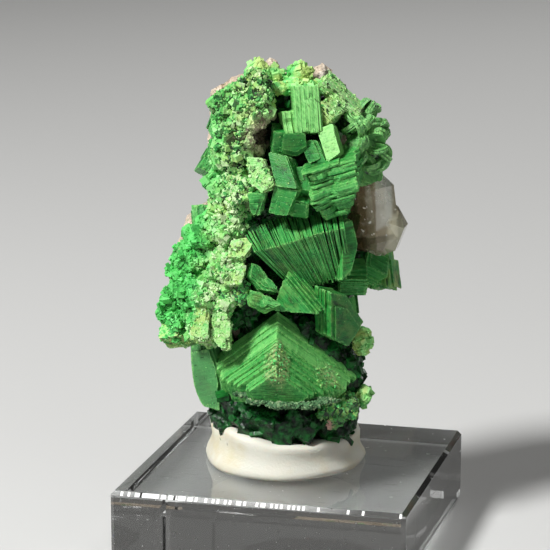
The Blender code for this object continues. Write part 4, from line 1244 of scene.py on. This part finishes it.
def ledge_finish():
    """The thin worn crust under the low tablet: grey-green and beige."""
    c = colours()
    f = Finish("torbernite_worn_crust", IOR=CRYSTAL_IOR, Specular_IOR_Level=0.25)
    grit = f.noise(f.place(), 3.0, 4.0, 0.65)
    light = grit * 0.8 + f.amount("chance") * 0.4
    base = f.tint(light.between(0.25, 0.60), c.deep, c.moss)
    base = f.tint(light.between(0.50, 0.90) * 0.7, base, c.ledge)
    return f.dressed(grit, 0.08, Base_Color=base, Roughness=0.5 + grit * 0.3)


def speckle_finish():
    """Grains on broken ground: dark green, olive and straw."""
    c = colours()
    f = Finish("torbernite_speckles", IOR=CRYSTAL_IOR)
    place = f.place()
    grit = f.noise(place, 3.0, 3.0, 0.6)
    mixed = f.amount("chance") * 0.7 + grit * 0.6
    base = f.tint(mixed.between(0.15, 0.50), c.deep, c.leaf)
    base = f.tint(mixed.between(0.50, 0.95) * 0.7, base, f.tint(grit.between(0.4, 0.6), c.mint, c.straw))
    base = f.tint(f.noise(place, 0.9, 3.0, 0.6).between(0.45, 0.60) * 0.45, base, c.bog)
    spot = f.vector("DISTANCE", f.joined(*across_and_up(f, place), 0.0), (*FOOT_SPOT, 0.0), output=1)
    base = f.tint(1 - (spot + grit * 0.6).between(0.6, 1.1), base, c.blush)
    return f.dressed(grit, 0.06, Base_Color=base, Roughness=0.35 + grit * 0.35)


def dull_finish():
    """Greyish green, glassy grains in the shade."""
    c = colours()
    f = Finish("torbernite_dull", IOR=CRYSTAL_IOR)
    chance = f.amount("chance")
    grit = f.noise(f.place(), 2.6, 4.0, 0.65)
    base = f.tint((grit * 0.7 + chance * 0.4).between(0.2, 0.65), c.deep, c.moss)
    base = f.tint((grit + chance * 0.5).between(0.52, 0.90) * 0.6, base, c.mint)
    return f.dressed(grit, 0.08, Base_Color=base, Roughness=0.28 + grit * 0.35)


def core_and_shade_finish():
    """The dark green mass in the gaps between the crystals: partly the mineral's own dark green, partly
    painted shade in those gaps.
    """
    c = colours()
    f = Finish("torbernite_depths", IOR=CRYSTAL_IOR, Specular_IOR_Level=0.25)
    grit = f.noise(f.place(), 1.6, 4.0, 0.65)
    # The darkest green is painted shade in the gaps
    darkest = [value * 0.3 for value in c.deep]
    base = f.tint((grit + f.amount("chance") * 0.12).between(0.38, 0.85), darkest, c.emerald)
    return f.dressed(grit, 0.10, Base_Color=base, Roughness=0.18 + grit * 0.4)


def rock_finish():
    """Pale broken rock: beige, grey and green grains with rusty stains and a few cracks."""
    c = colours()
    f = Finish("pale_rock", IOR=1.5)
    place = f.place()
    grains = f.noise(place, 2.4, 5.0, 0.65)
    veins = f.noise(place, 0.4, 4.0, 0.6)
    sparkle = f.noise(place, 9.0, 2.0, 0.5)
    grey = f.noise(place, 0.30, 5.0, 0.65, w=2.0)
    green = f.noise(place, 0.7, 5.0, 0.7, w=5.0)
    fine = grains.between(0.4, 0.6)
    base = f.tint(grains.between(0.3, 0.7), c.rock_dark, c.beige)
    base = f.tint(grains.between(0.55, 0.75), base, c.rock_pale)
    base = f.tint(veins.between(0.50, 0.66) * 0.6, base, c.rock_stain)
    base = f.tint(grey.between(0.50, 0.62) * 0.6, base, f.tint(fine, c.grey_dark, c.grey_pale))
    base = f.tint(green.between(0.58, 0.64) * 0.75, base, f.tint(fine, c.emerald, c.leaf))
    warp = f.stretched(f.joined(veins, grey, grains), (6.0, 6.0, 4.0))
    crack = f.node("ShaderNodeTexVoronoi", {"feature": "DISTANCE_TO_EDGE"},
                   {"Vector": f.vector("ADD", place, warp), "Scale": 0.2})
    crack = (1 - crack.between(0.0, 0.025)) * veins.between(0.46, 0.56)
    base = f.tint(crack * 0.6, base, c.rock_crack)
    return f.dressed(grains * 0.7 + sparkle * 0.3 + grey * 2.5 - crack * 0.5, 0.22,
                     Base_Color=base, Roughness=0.9 - sparkle.between(0.6, 0.7) * 0.5)


def quartz_finish():
    """Smoky quartz: brown on its left, a pale grey veil on its front, yellowed and painted brighter at its
    lower right, with painted glints.
    """
    c = colours()
    f = Finish("smoky_quartz_crystal", IOR=1.544, Transmission_Weight=0.60, Coat_Weight=0.3)
    place = f.place()
    across, up = across_and_up(f, place)
    veil = f.noise(place, 0.7, 5.0, 0.6)
    drift = f.noise(place, 0.35, 3.0, 0.5) * 2 - 1
    base = f.tint((across + drift * 1.2).between(5.8, 7.6), c.smoke_dark, c.smoke)
    facet = (across + drift * 0.3).between(6.95, 7.1) * (1 - (across + drift * 0.3).between(8.2, 8.6))
    facet = facet * (up + drift * 0.6 - across * 0.3).between(18.5, 18.8)
    base = f.tint(facet * 0.8, base, c.facet)
    # The lower right is yellowed and also painted brighter, as light falls there
    low = (1 - (up + drift * 0.5).between(21.4, 22.2)) * (across + drift * 0.6).between(7.9, 8.4)
    base = f.tint(low * 0.9, base, c.amber)
    base = f.tint(veil.between(0.55, 0.78) * 0.5, base, c.veil)
    # Painted highlights: small bright glints spread over the quartz
    base = f.tint(f.noise(place, 1.9, 2.0, 0.5).between(0.66, 0.69), base, c.glint)
    return f.dressed(f.noise(place, 2.5, 3.0, 0.5), 0.02, Base_Color=base,
                     Roughness=0.05 + veil.between(0.45, 0.8) * 0.35 + facet * 0.2)


def putty_finish():
    """Matt white putty, yellowed in places, with faint press marks and specks."""
    c = colours()
    f = Finish("putty_white", IOR=1.45, Subsurface_Weight=0.15, Subsurface_Scale=0.0006)
    place = f.place()
    soft = f.noise(place, 0.3, 3.0, 0.5)
    fine = f.noise(place, 4.0, 4.0, 0.6)
    speck = f.noise(place, 1.7, 1.0, 0.3).between(0.76, 0.79)
    base = f.tint(soft.between(0.45, 0.75), c.putty, c.putty_yellow)
    base = f.tint(fine.between(0.5, 0.8) * 0.3, base, c.putty_pale)
    base = f.tint(speck * 0.7, base, c.putty_speck)
    return f.dressed(fine * 0.5 + soft * 0.5, 0.07, Base_Color=base, Roughness=0.62 + fine * 0.2)


def acrylic_finish():
    """Clear acrylic: polished, with dust, a scratch or two, and white saw marks along its front edge, which
    are partly painted glints.
    """
    c = colours()
    f = Finish("clear_acrylic", IOR=1.49, Transmission_Weight=1.0, Base_Color=(*c.acrylic, 1.0))
    place = f.place()
    x, y, z = f.parts(place)
    left, front = BLOCK_LOW.x / MM, -BLOCK_LOW.y / MM
    right, top = BLOCK_HIGH.x / MM, BLOCK_HIGH.z / MM
    dust = f.noise(place, 3.2, 1.0, 0.4).between(0.74, 0.80)
    hair = f.noise(f.stretched(place, (0.25, 5.0, 1.0)), 1.0, 2.0, 0.4).between(0.70, 0.74)
    cell = (x / SAW_PITCH).math("FLOOR")
    marked = f.node("ShaderNodeTexWhiteNoise", {"noise_dimensions": "1D"}, {"W": cell})
    # The saw marks lie on the front top edge only: partly real saw marks, partly painted glints where light
    # catches that edge
    on_edge = (y * -1).between(front - 0.33, front - 0.28) * z.between(top - 0.36, top - 0.30)
    saw = marked.math("GREATER_THAN", x.between(left, right) * 0.55 + 0.30) * on_edge
    lint = f.noise(place, 1.9, 2.0, 0.5).between(0.80, 0.83)
    white = f.node("ShaderNodeBsdfPrincipled", {}, {"Base Color": (*c.lint, 1.0), "Roughness": 0.6})
    clear = Wire(f, f.shader.outputs[0])
    mixed = f.node("ShaderNodeMixShader", {}, {0: (saw + lint * 0.6).clamped(), 1: clear, 2: white})
    f.tree.links.new(mixed.socket, f.tree.nodes["Material Output"].inputs["Surface"])
    return f.dressed(dust * 0.6 + hair * 0.4, 0.01, Roughness=0.015 + dust * 0.4 + hair * 0.2)


# Pieces

def finished_piece(thing, slot, *nodes):
    thing.location = (0, 0, 0)
    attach(thing, BODY)
    if nodes:
        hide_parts(*nodes)


def green_piece(name, meshes):
    """One piece of the grown crystals, which together stand for one solid."""
    finished_piece(join_meshes(name, meshes), "torbernite_green", "torbernite")


class SPECIMEN_OT_crystals(bpy.types.Operator):
    """Grow every large green crystal from thin plates"""
    bl_idname = "specimen.crystals"
    bl_label = "Crystals"

    def execute(self, context):
        growth = book_growth()
        finish = crystal_finish()
        seed = sizes().seed
        clean = [book for book in BOOKS if not book.crusted]
        groups = {"upper_crystals": ([book for book in clean if book.centre[2] > FAN_LEVEL], finish),
                  "lower_crystals": ([book for book in clean if book.centre[2] <= FAN_LEVEL], finish),
                  "crusted_crystals": ([book for book in BOOKS if book.crusted], crusted_finish()),
                  "side_crystals": (list(side_books()), finish)}
        for name, (books, dress) in groups.items():
            rng = random.Random(seed)
            stepped = [step for book in books if book.taper == 1.0 for step in growth_steps(book, rng)]
            green_piece(name, [grow_book(growth, book, dress, seed + i * 13)
                               for i, book in enumerate(books + stepped)])
        green_piece("rosette_sheets", [grow_book(growth, book, finish, seed + i * 7)
                                       for i, book in enumerate(rosette_books())])
        return {"FINISHED"}


class SPECIMEN_OT_fan(bpy.types.Operator):
    """Open the fan of upright plates in the middle"""
    bl_idname = "specimen.fan"
    bl_label = "Fan of plates"

    def execute(self, context):
        start, end = Vector(FAN_START), Vector(FAN_END)
        first, last = FAN_TURNS
        pitch = (end - start).length / FAN_PLATES
        mesh = plate_mesh(FAN_PLATE, sizes().rim_step / MM, pitch * FAN_OVERLAP)
        grown = book_growth().grow(mesh, **{
            "Plates": FAN_PLATES, "Start": start, "End": end, "First turn": first, "Last turn": last,
            "Foot size": 0.8, "Knee": 0.2, "Shift": 0.09, "Share of slits": 0.14, "Jag": 0.22, "Warp": 0.08,
            "Torn end": 2.0, "Plate contrast": 0.8, "Half width": half_size(FAN_PLATE)[0],
            "Tone": (0.18, 0.15, 0.0), "Seed": sizes().seed + FAN_SEED, "Finish": crystal_finish()})
        grown.transform(TO_WORLD)
        green_piece("fan_of_plates", [grown])
        return {"FINISHED"}


@dataclass
class Overgrowth:
    """A rough skin round overlapping solids, and the grains that are sown on it.

    The sizes are in millimetres. Each sowing is its grains per square millimetre, the smallest and the
    largest of them, and how far they tilt. Skin is the finish of the skin, and top that of the grains.
    """
    solids: list
    voxel: float
    relief: float
    grain: float
    pits: float
    skin: bpy.types.Material
    top: bpy.types.Material
    sowings: list


def overgrowths():
    """Every skin of the green crystals, by name."""
    s = sizes()
    dull, crown, ledge, core = dull_finish(), crown_finish(), ledge_finish(), core_and_shade_finish()
    return {
        "crust": Overgrowth(
            [lump_mesh(CRUST, seed=120, rough=0.12), *(crude_mesh(book) for book in crust_books())],
            voxel=0.16, relief=0.30, grain=0.08, pits=0.60, skin=skin_finish(), top=grain_finish(),
            sowings=[(s.grain_density, 0.11, s.grain_size / MM, 0.9), (1.4, 0.4, 0.80, 0.8)]),
        "crown": Overgrowth(
            [lump_mesh(CROWN, seed=30, rough=0.10)],
            voxel=0.17, relief=0.18, grain=0.05, pits=0.0, skin=crown, top=crown,
            sowings=[(9.0, 0.15, 0.6, 0.6)]),
        "rosette": Overgrowth(
            [lump_mesh(ROSETTE, seed=40, rough=0.10)],
            voxel=0.17, relief=0.26, grain=0.05, pits=0.3, skin=dull, top=dull,
            sowings=[(3.0, 0.2, 0.6, 0.5)]),
        "speckles": Overgrowth(
            [lump_mesh(SPECKLES, seed=70, rough=0.14)],
            voxel=0.15, relief=0.18, grain=0.10, pits=0.0, skin=dull, top=speckle_finish(),
            sowings=[(24.0, 0.10, 0.42, 0.9)]),
        "ledge": Overgrowth(
            [lump_mesh(LEDGE, seed=50, rough=0.14)],
            voxel=0.15, relief=0.16, grain=0.08, pits=0.0, skin=ledge, top=ledge,
            sowings=[(34.0, 0.06, 0.26, 0.9)]),
        # The foot's crystals share this dark finish, partly painted shade under the low tablet
        "foot": Overgrowth(
            [crude_mesh(book) for book in foot_books()],
            voxel=0.17, relief=0.30, grain=0.03, pits=0.2, skin=core, top=core,
            sowings=[(0.25, 0.5, 1.5, 0.4)]),
        "core": Overgrowth(
            [lump_mesh(CORE, seed=100, rough=0.16)],
            voxel=0.30, relief=0.35, grain=0.10, pits=0.3, skin=core, top=core,
            sowings=[(1.6, 0.3, 0.9, 0.8)]),
    }


class SPECIMEN_OT_crust(bpy.types.Operator):
    """Sow the grainy crust down the left side, and the dark mass in the gaps"""
    bl_idname = "specimen.crust"
    bl_label = "Crust and core"

    def execute(self, context):
        seed = sizes().seed
        skins = skin_growth()
        grains = grain_growth()
        for name, over in overgrowths().items():
            skin = skins.grow(voxel_skin(over.solids, over.voxel), **{
                "Relief": over.relief, "Grain": over.grain, "Pits": over.pits, "Hollow": HOLLOW,
                "Seed": seed, "Finish": over.skin})
            sown = [grains.grow(skin.copy(), **{
                "Density": density, "Smallest": small, "Largest": large, "Lift": GRAIN_LIFT, "Tilt": tilt,
                "Seed": seed + i, "Finish": over.top})
                for i, (density, small, large, tilt) in enumerate(over.sowings)]
            for mesh in (skin, *sown):
                mesh.transform(TO_WORLD)
            green_piece(f"{name}_skin", [skin])
            green_piece(f"{name}_grains", sown)
        patches = {}
        speckles = speckle_finish()
        dress = {"crusted_crystals": grain_finish()}
        for i, (under, centre, reach, density, largest) in enumerate(PATCHES):
            ground = bpy.data.objects[under].data.copy()
            ground.transform(TO_WORLD.inverted())
            sown = grains.grow(ground, **{
                "Patch": centre, "Patch reach": reach, "Density": density, "Smallest": SMALLEST_DUST,
                "Largest": largest, "Tilt": 0.9, "Seed": seed + i, "Finish": dress.get(under, speckles)})
            sown.transform(TO_WORLD)
            patches.setdefault(under, []).append(sown)
        for under, meshes in patches.items():
            green_piece(f"grains_on_{under}", meshes)
        return {"FINISHED"}


class SPECIMEN_OT_quartz(bpy.types.Operator):
    """Finish the smoky quartz"""
    bl_idname = "specimen.quartz"
    bl_label = "Smoky quartz"

    def execute(self, context):
        thing = copy_of_node("smoky_quartz", "smoky_quartz_crystal")
        bevel = thing.modifiers.new("worn_edges", "BEVEL")
        bevel.width = QUARTZ_BEVEL * MM
        bevel.segments = 2
        bevel.angle_limit = QUARTZ_EDGE
        settle(thing)
        thing.data.materials.clear()
        thing.data.materials.append(quartz_finish())
        finished_piece(thing, "smoky_quartz", "smoky_quartz")
        return {"FINISHED"}


class SPECIMEN_OT_rock(bpy.types.Operator):
    """Break the pale rock's surface"""
    bl_idname = "specimen.rock"
    bl_label = "Pale rock"

    def execute(self, context):
        source = copy_of_node("matrix", "rock_source")
        bm = bmesh.new()
        bm.from_mesh(source.data)
        bmesh.ops.triangulate(bm, faces=bm.faces)
        bm.to_mesh(source.data)
        bm.free()
        s = sizes()
        mesh = rock_growth().grow(source.data, **{
            "Relief": s.rock_relief, "Level": ROCK_DETAIL, "Seed": s.seed, "Finish": rock_finish()})
        bpy.data.objects.remove(source)
        finished_piece(join_meshes("pale_rock", [mesh]), "pale_matrix", "matrix")
        return {"FINISHED"}


# The putty's foot and lip, which rises towards one side. The profile is its height and its reach as
# shares, from the block up and over the lip.
PUTTY_CENTRE = (-0.75, 0.4)
PUTTY_RADIUS = 6.75
PUTTY_HEIGHT = 3.6
PUTTY_LIP = 0.8
PUTTY_LIP_TURN = math.radians(140)
PUTTY_PROFILE = [(0.0, 0.985), (0.04, 1.02), (0.12, 1.035), (0.22, 1.02), (0.34, 0.985), (0.48, 0.962),
                 (0.62, 0.955), (0.76, 0.962), (0.88, 0.968), (0.96, 0.955), (1.0, 0.92), (1.02, 0.87),
                 (1.0, 0.80), (0.95, 0.72), (0.9, 0.55), (0.88, 0.3)]
PUTTY_AROUND = 160


def putty_point(level, share, angle):
    """A point of the putty's surface, which waves in and out where it was pressed."""
    wave = 0.02 * math.sin(3 * angle + 1.0) + 0.012 * math.sin(7 * angle + 4 * level)
    lip = PUTTY_LIP * level * math.cos(angle - PUTTY_LIP_TURN)
    lip += 0.12 * level * math.sin(5 * angle) + 0.05 * level * math.sin(13 * angle + 2)
    reach = PUTTY_RADIUS * (share + wave)
    return (PUTTY_CENTRE[0] + math.cos(angle) * reach, PUTTY_CENTRE[1] + math.sin(angle) * reach,
            max(PUTTY_HEIGHT * level + lip, 0.0))


class SPECIMEN_OT_putty(bpy.types.Operator):
    """Press the putty round the foot"""
    bl_idname = "specimen.putty"
    bl_label = "Putty"

    def execute(self, context):
        bm = bmesh.new()
        angles = [math.tau * i / PUTTY_AROUND for i in range(PUTTY_AROUND)]
        loops = [[bm.verts.new(putty_point(level, share, angle)) for angle in angles]
                 for level, share in PUTTY_PROFILE]
        bm.faces.new(list(reversed(loops[0])))
        bm.faces.new(loops[-1])
        for lower, upper in zip(loops, loops[1:]):
            for i in range(PUTTY_AROUND):
                j = (i + 1) % PUTTY_AROUND
                bm.faces.new((lower[i], lower[j], upper[j], upper[i]))
        bmesh.ops.triangulate(bm, faces=[face for face in bm.faces if len(face.verts) > 4])
        mesh = mesh_from(bm, "putty")
        mesh.transform(TO_WORLD)
        mesh.shade_smooth()
        mesh.materials.append(putty_finish())
        finished_piece(join_meshes("putty_pad", [mesh]), "putty_white", "putty")
        return {"FINISHED"}


class SPECIMEN_OT_block(bpy.types.Operator):
    """Polish the clear block"""
    bl_idname = "specimen.block"
    bl_label = "Display block"

    def execute(self, context):
        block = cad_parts["display_block"]
        block.data.materials.clear()
        block.data.materials.append(acrylic_finish())
        return {"FINISHED"}


def area_light(name, place, size, power):
    light = bpy.data.lights.new(name, "AREA")
    light.shape = "DISK"
    light.size = size
    light.energy = power
    lamp = new_object(name, light)
    lamp.location = place
    lamp.rotation_euler = (Vector(LAMPS_AIM) - Vector(place)).to_track_quat("-Z", "Y").to_euler()


class SPECIMEN_OT_stage(bpy.types.Operator):
    """Set the pale floor, the soft light and the camera"""
    bl_idname = "specimen.stage"
    bl_label = "Stage"

    def execute(self, context):
        c = colours()
        scene = context.scene
        bpy.ops.mesh.primitive_plane_add(size=FLOOR_SIZE, location=(0, 0, 0))
        floor = context.object
        floor.name = "floor"
        floor.location.z = -FLOOR_GAP
        paper = Finish("pale_floor", Roughness=0.85, Base_Color=(*c.floor, 1.0))
        floor.data.materials.append(paper.material)

        world = bpy.data.worlds.new("studio")
        world.use_nodes = True
        sky = world.node_tree.nodes["Background"]
        sky.inputs["Color"].default_value = (*c.sky, 1.0)
        sky.inputs["Strength"].default_value = SKY_STRENGTH
        scene.world = world

        for name, (place, size, power) in LAMPS.items():
            area_light(name, place, size, power)

        lens = bpy.data.cameras.new("camera")
        lens.lens = CAMERA_LENS
        lens.sensor_width = CAMERA_SENSOR
        lens.clip_start = CAMERA_NEAREST
        camera = new_object("camera", lens)
        camera.location = CAMERA_PLACE
        camera.rotation_euler = Euler((math.pi / 2 - CAMERA_PITCH, 0.0, CAMERA_YAW))
        scene.camera = camera
        scene.view_settings.view_transform = "Standard"
        return {"FINISHED"}


class SPECIMEN_PT_panel(bpy.types.Panel):
    """Everything that the specimen is made of"""
    bl_label = "Specimen"
    bl_idname = "SPECIMEN_PT_panel"
    bl_space_type = "VIEW_3D"
    bl_region_type = "UI"
    bl_category = "Specimen"

    def draw(self, context):
        column = self.layout.column()
        for group in (context.scene.specimen_sizes, context.scene.specimen_colours):
            for name in group.__annotations__:
                column.prop(group, name)
        for operator in OPERATORS:
            column.operator(operator.bl_idname)


OPERATORS = (SPECIMEN_OT_block, SPECIMEN_OT_putty, SPECIMEN_OT_rock, SPECIMEN_OT_quartz, SPECIMEN_OT_crystals,
             SPECIMEN_OT_fan, SPECIMEN_OT_crust, SPECIMEN_OT_stage)
CLASSES = (SpecimenSizes, SpecimenColours, *OPERATORS, SPECIMEN_PT_panel)


def register():
    for made in CLASSES:
        bpy.utils.register_class(made)
    bpy.types.Scene.specimen_sizes = PointerProperty(type=SpecimenSizes)
    bpy.types.Scene.specimen_colours = PointerProperty(type=SpecimenColours)


def unregister():
    del bpy.types.Scene.specimen_colours
    del bpy.types.Scene.specimen_sizes
    for made in reversed(CLASSES):
        bpy.utils.unregister_class(made)


def main():
    register()
    for operator in OPERATORS:
        group, name = operator.bl_idname.split(".")
        getattr(getattr(bpy.ops, group), name)()


if __name__ == "__main__":
    main()
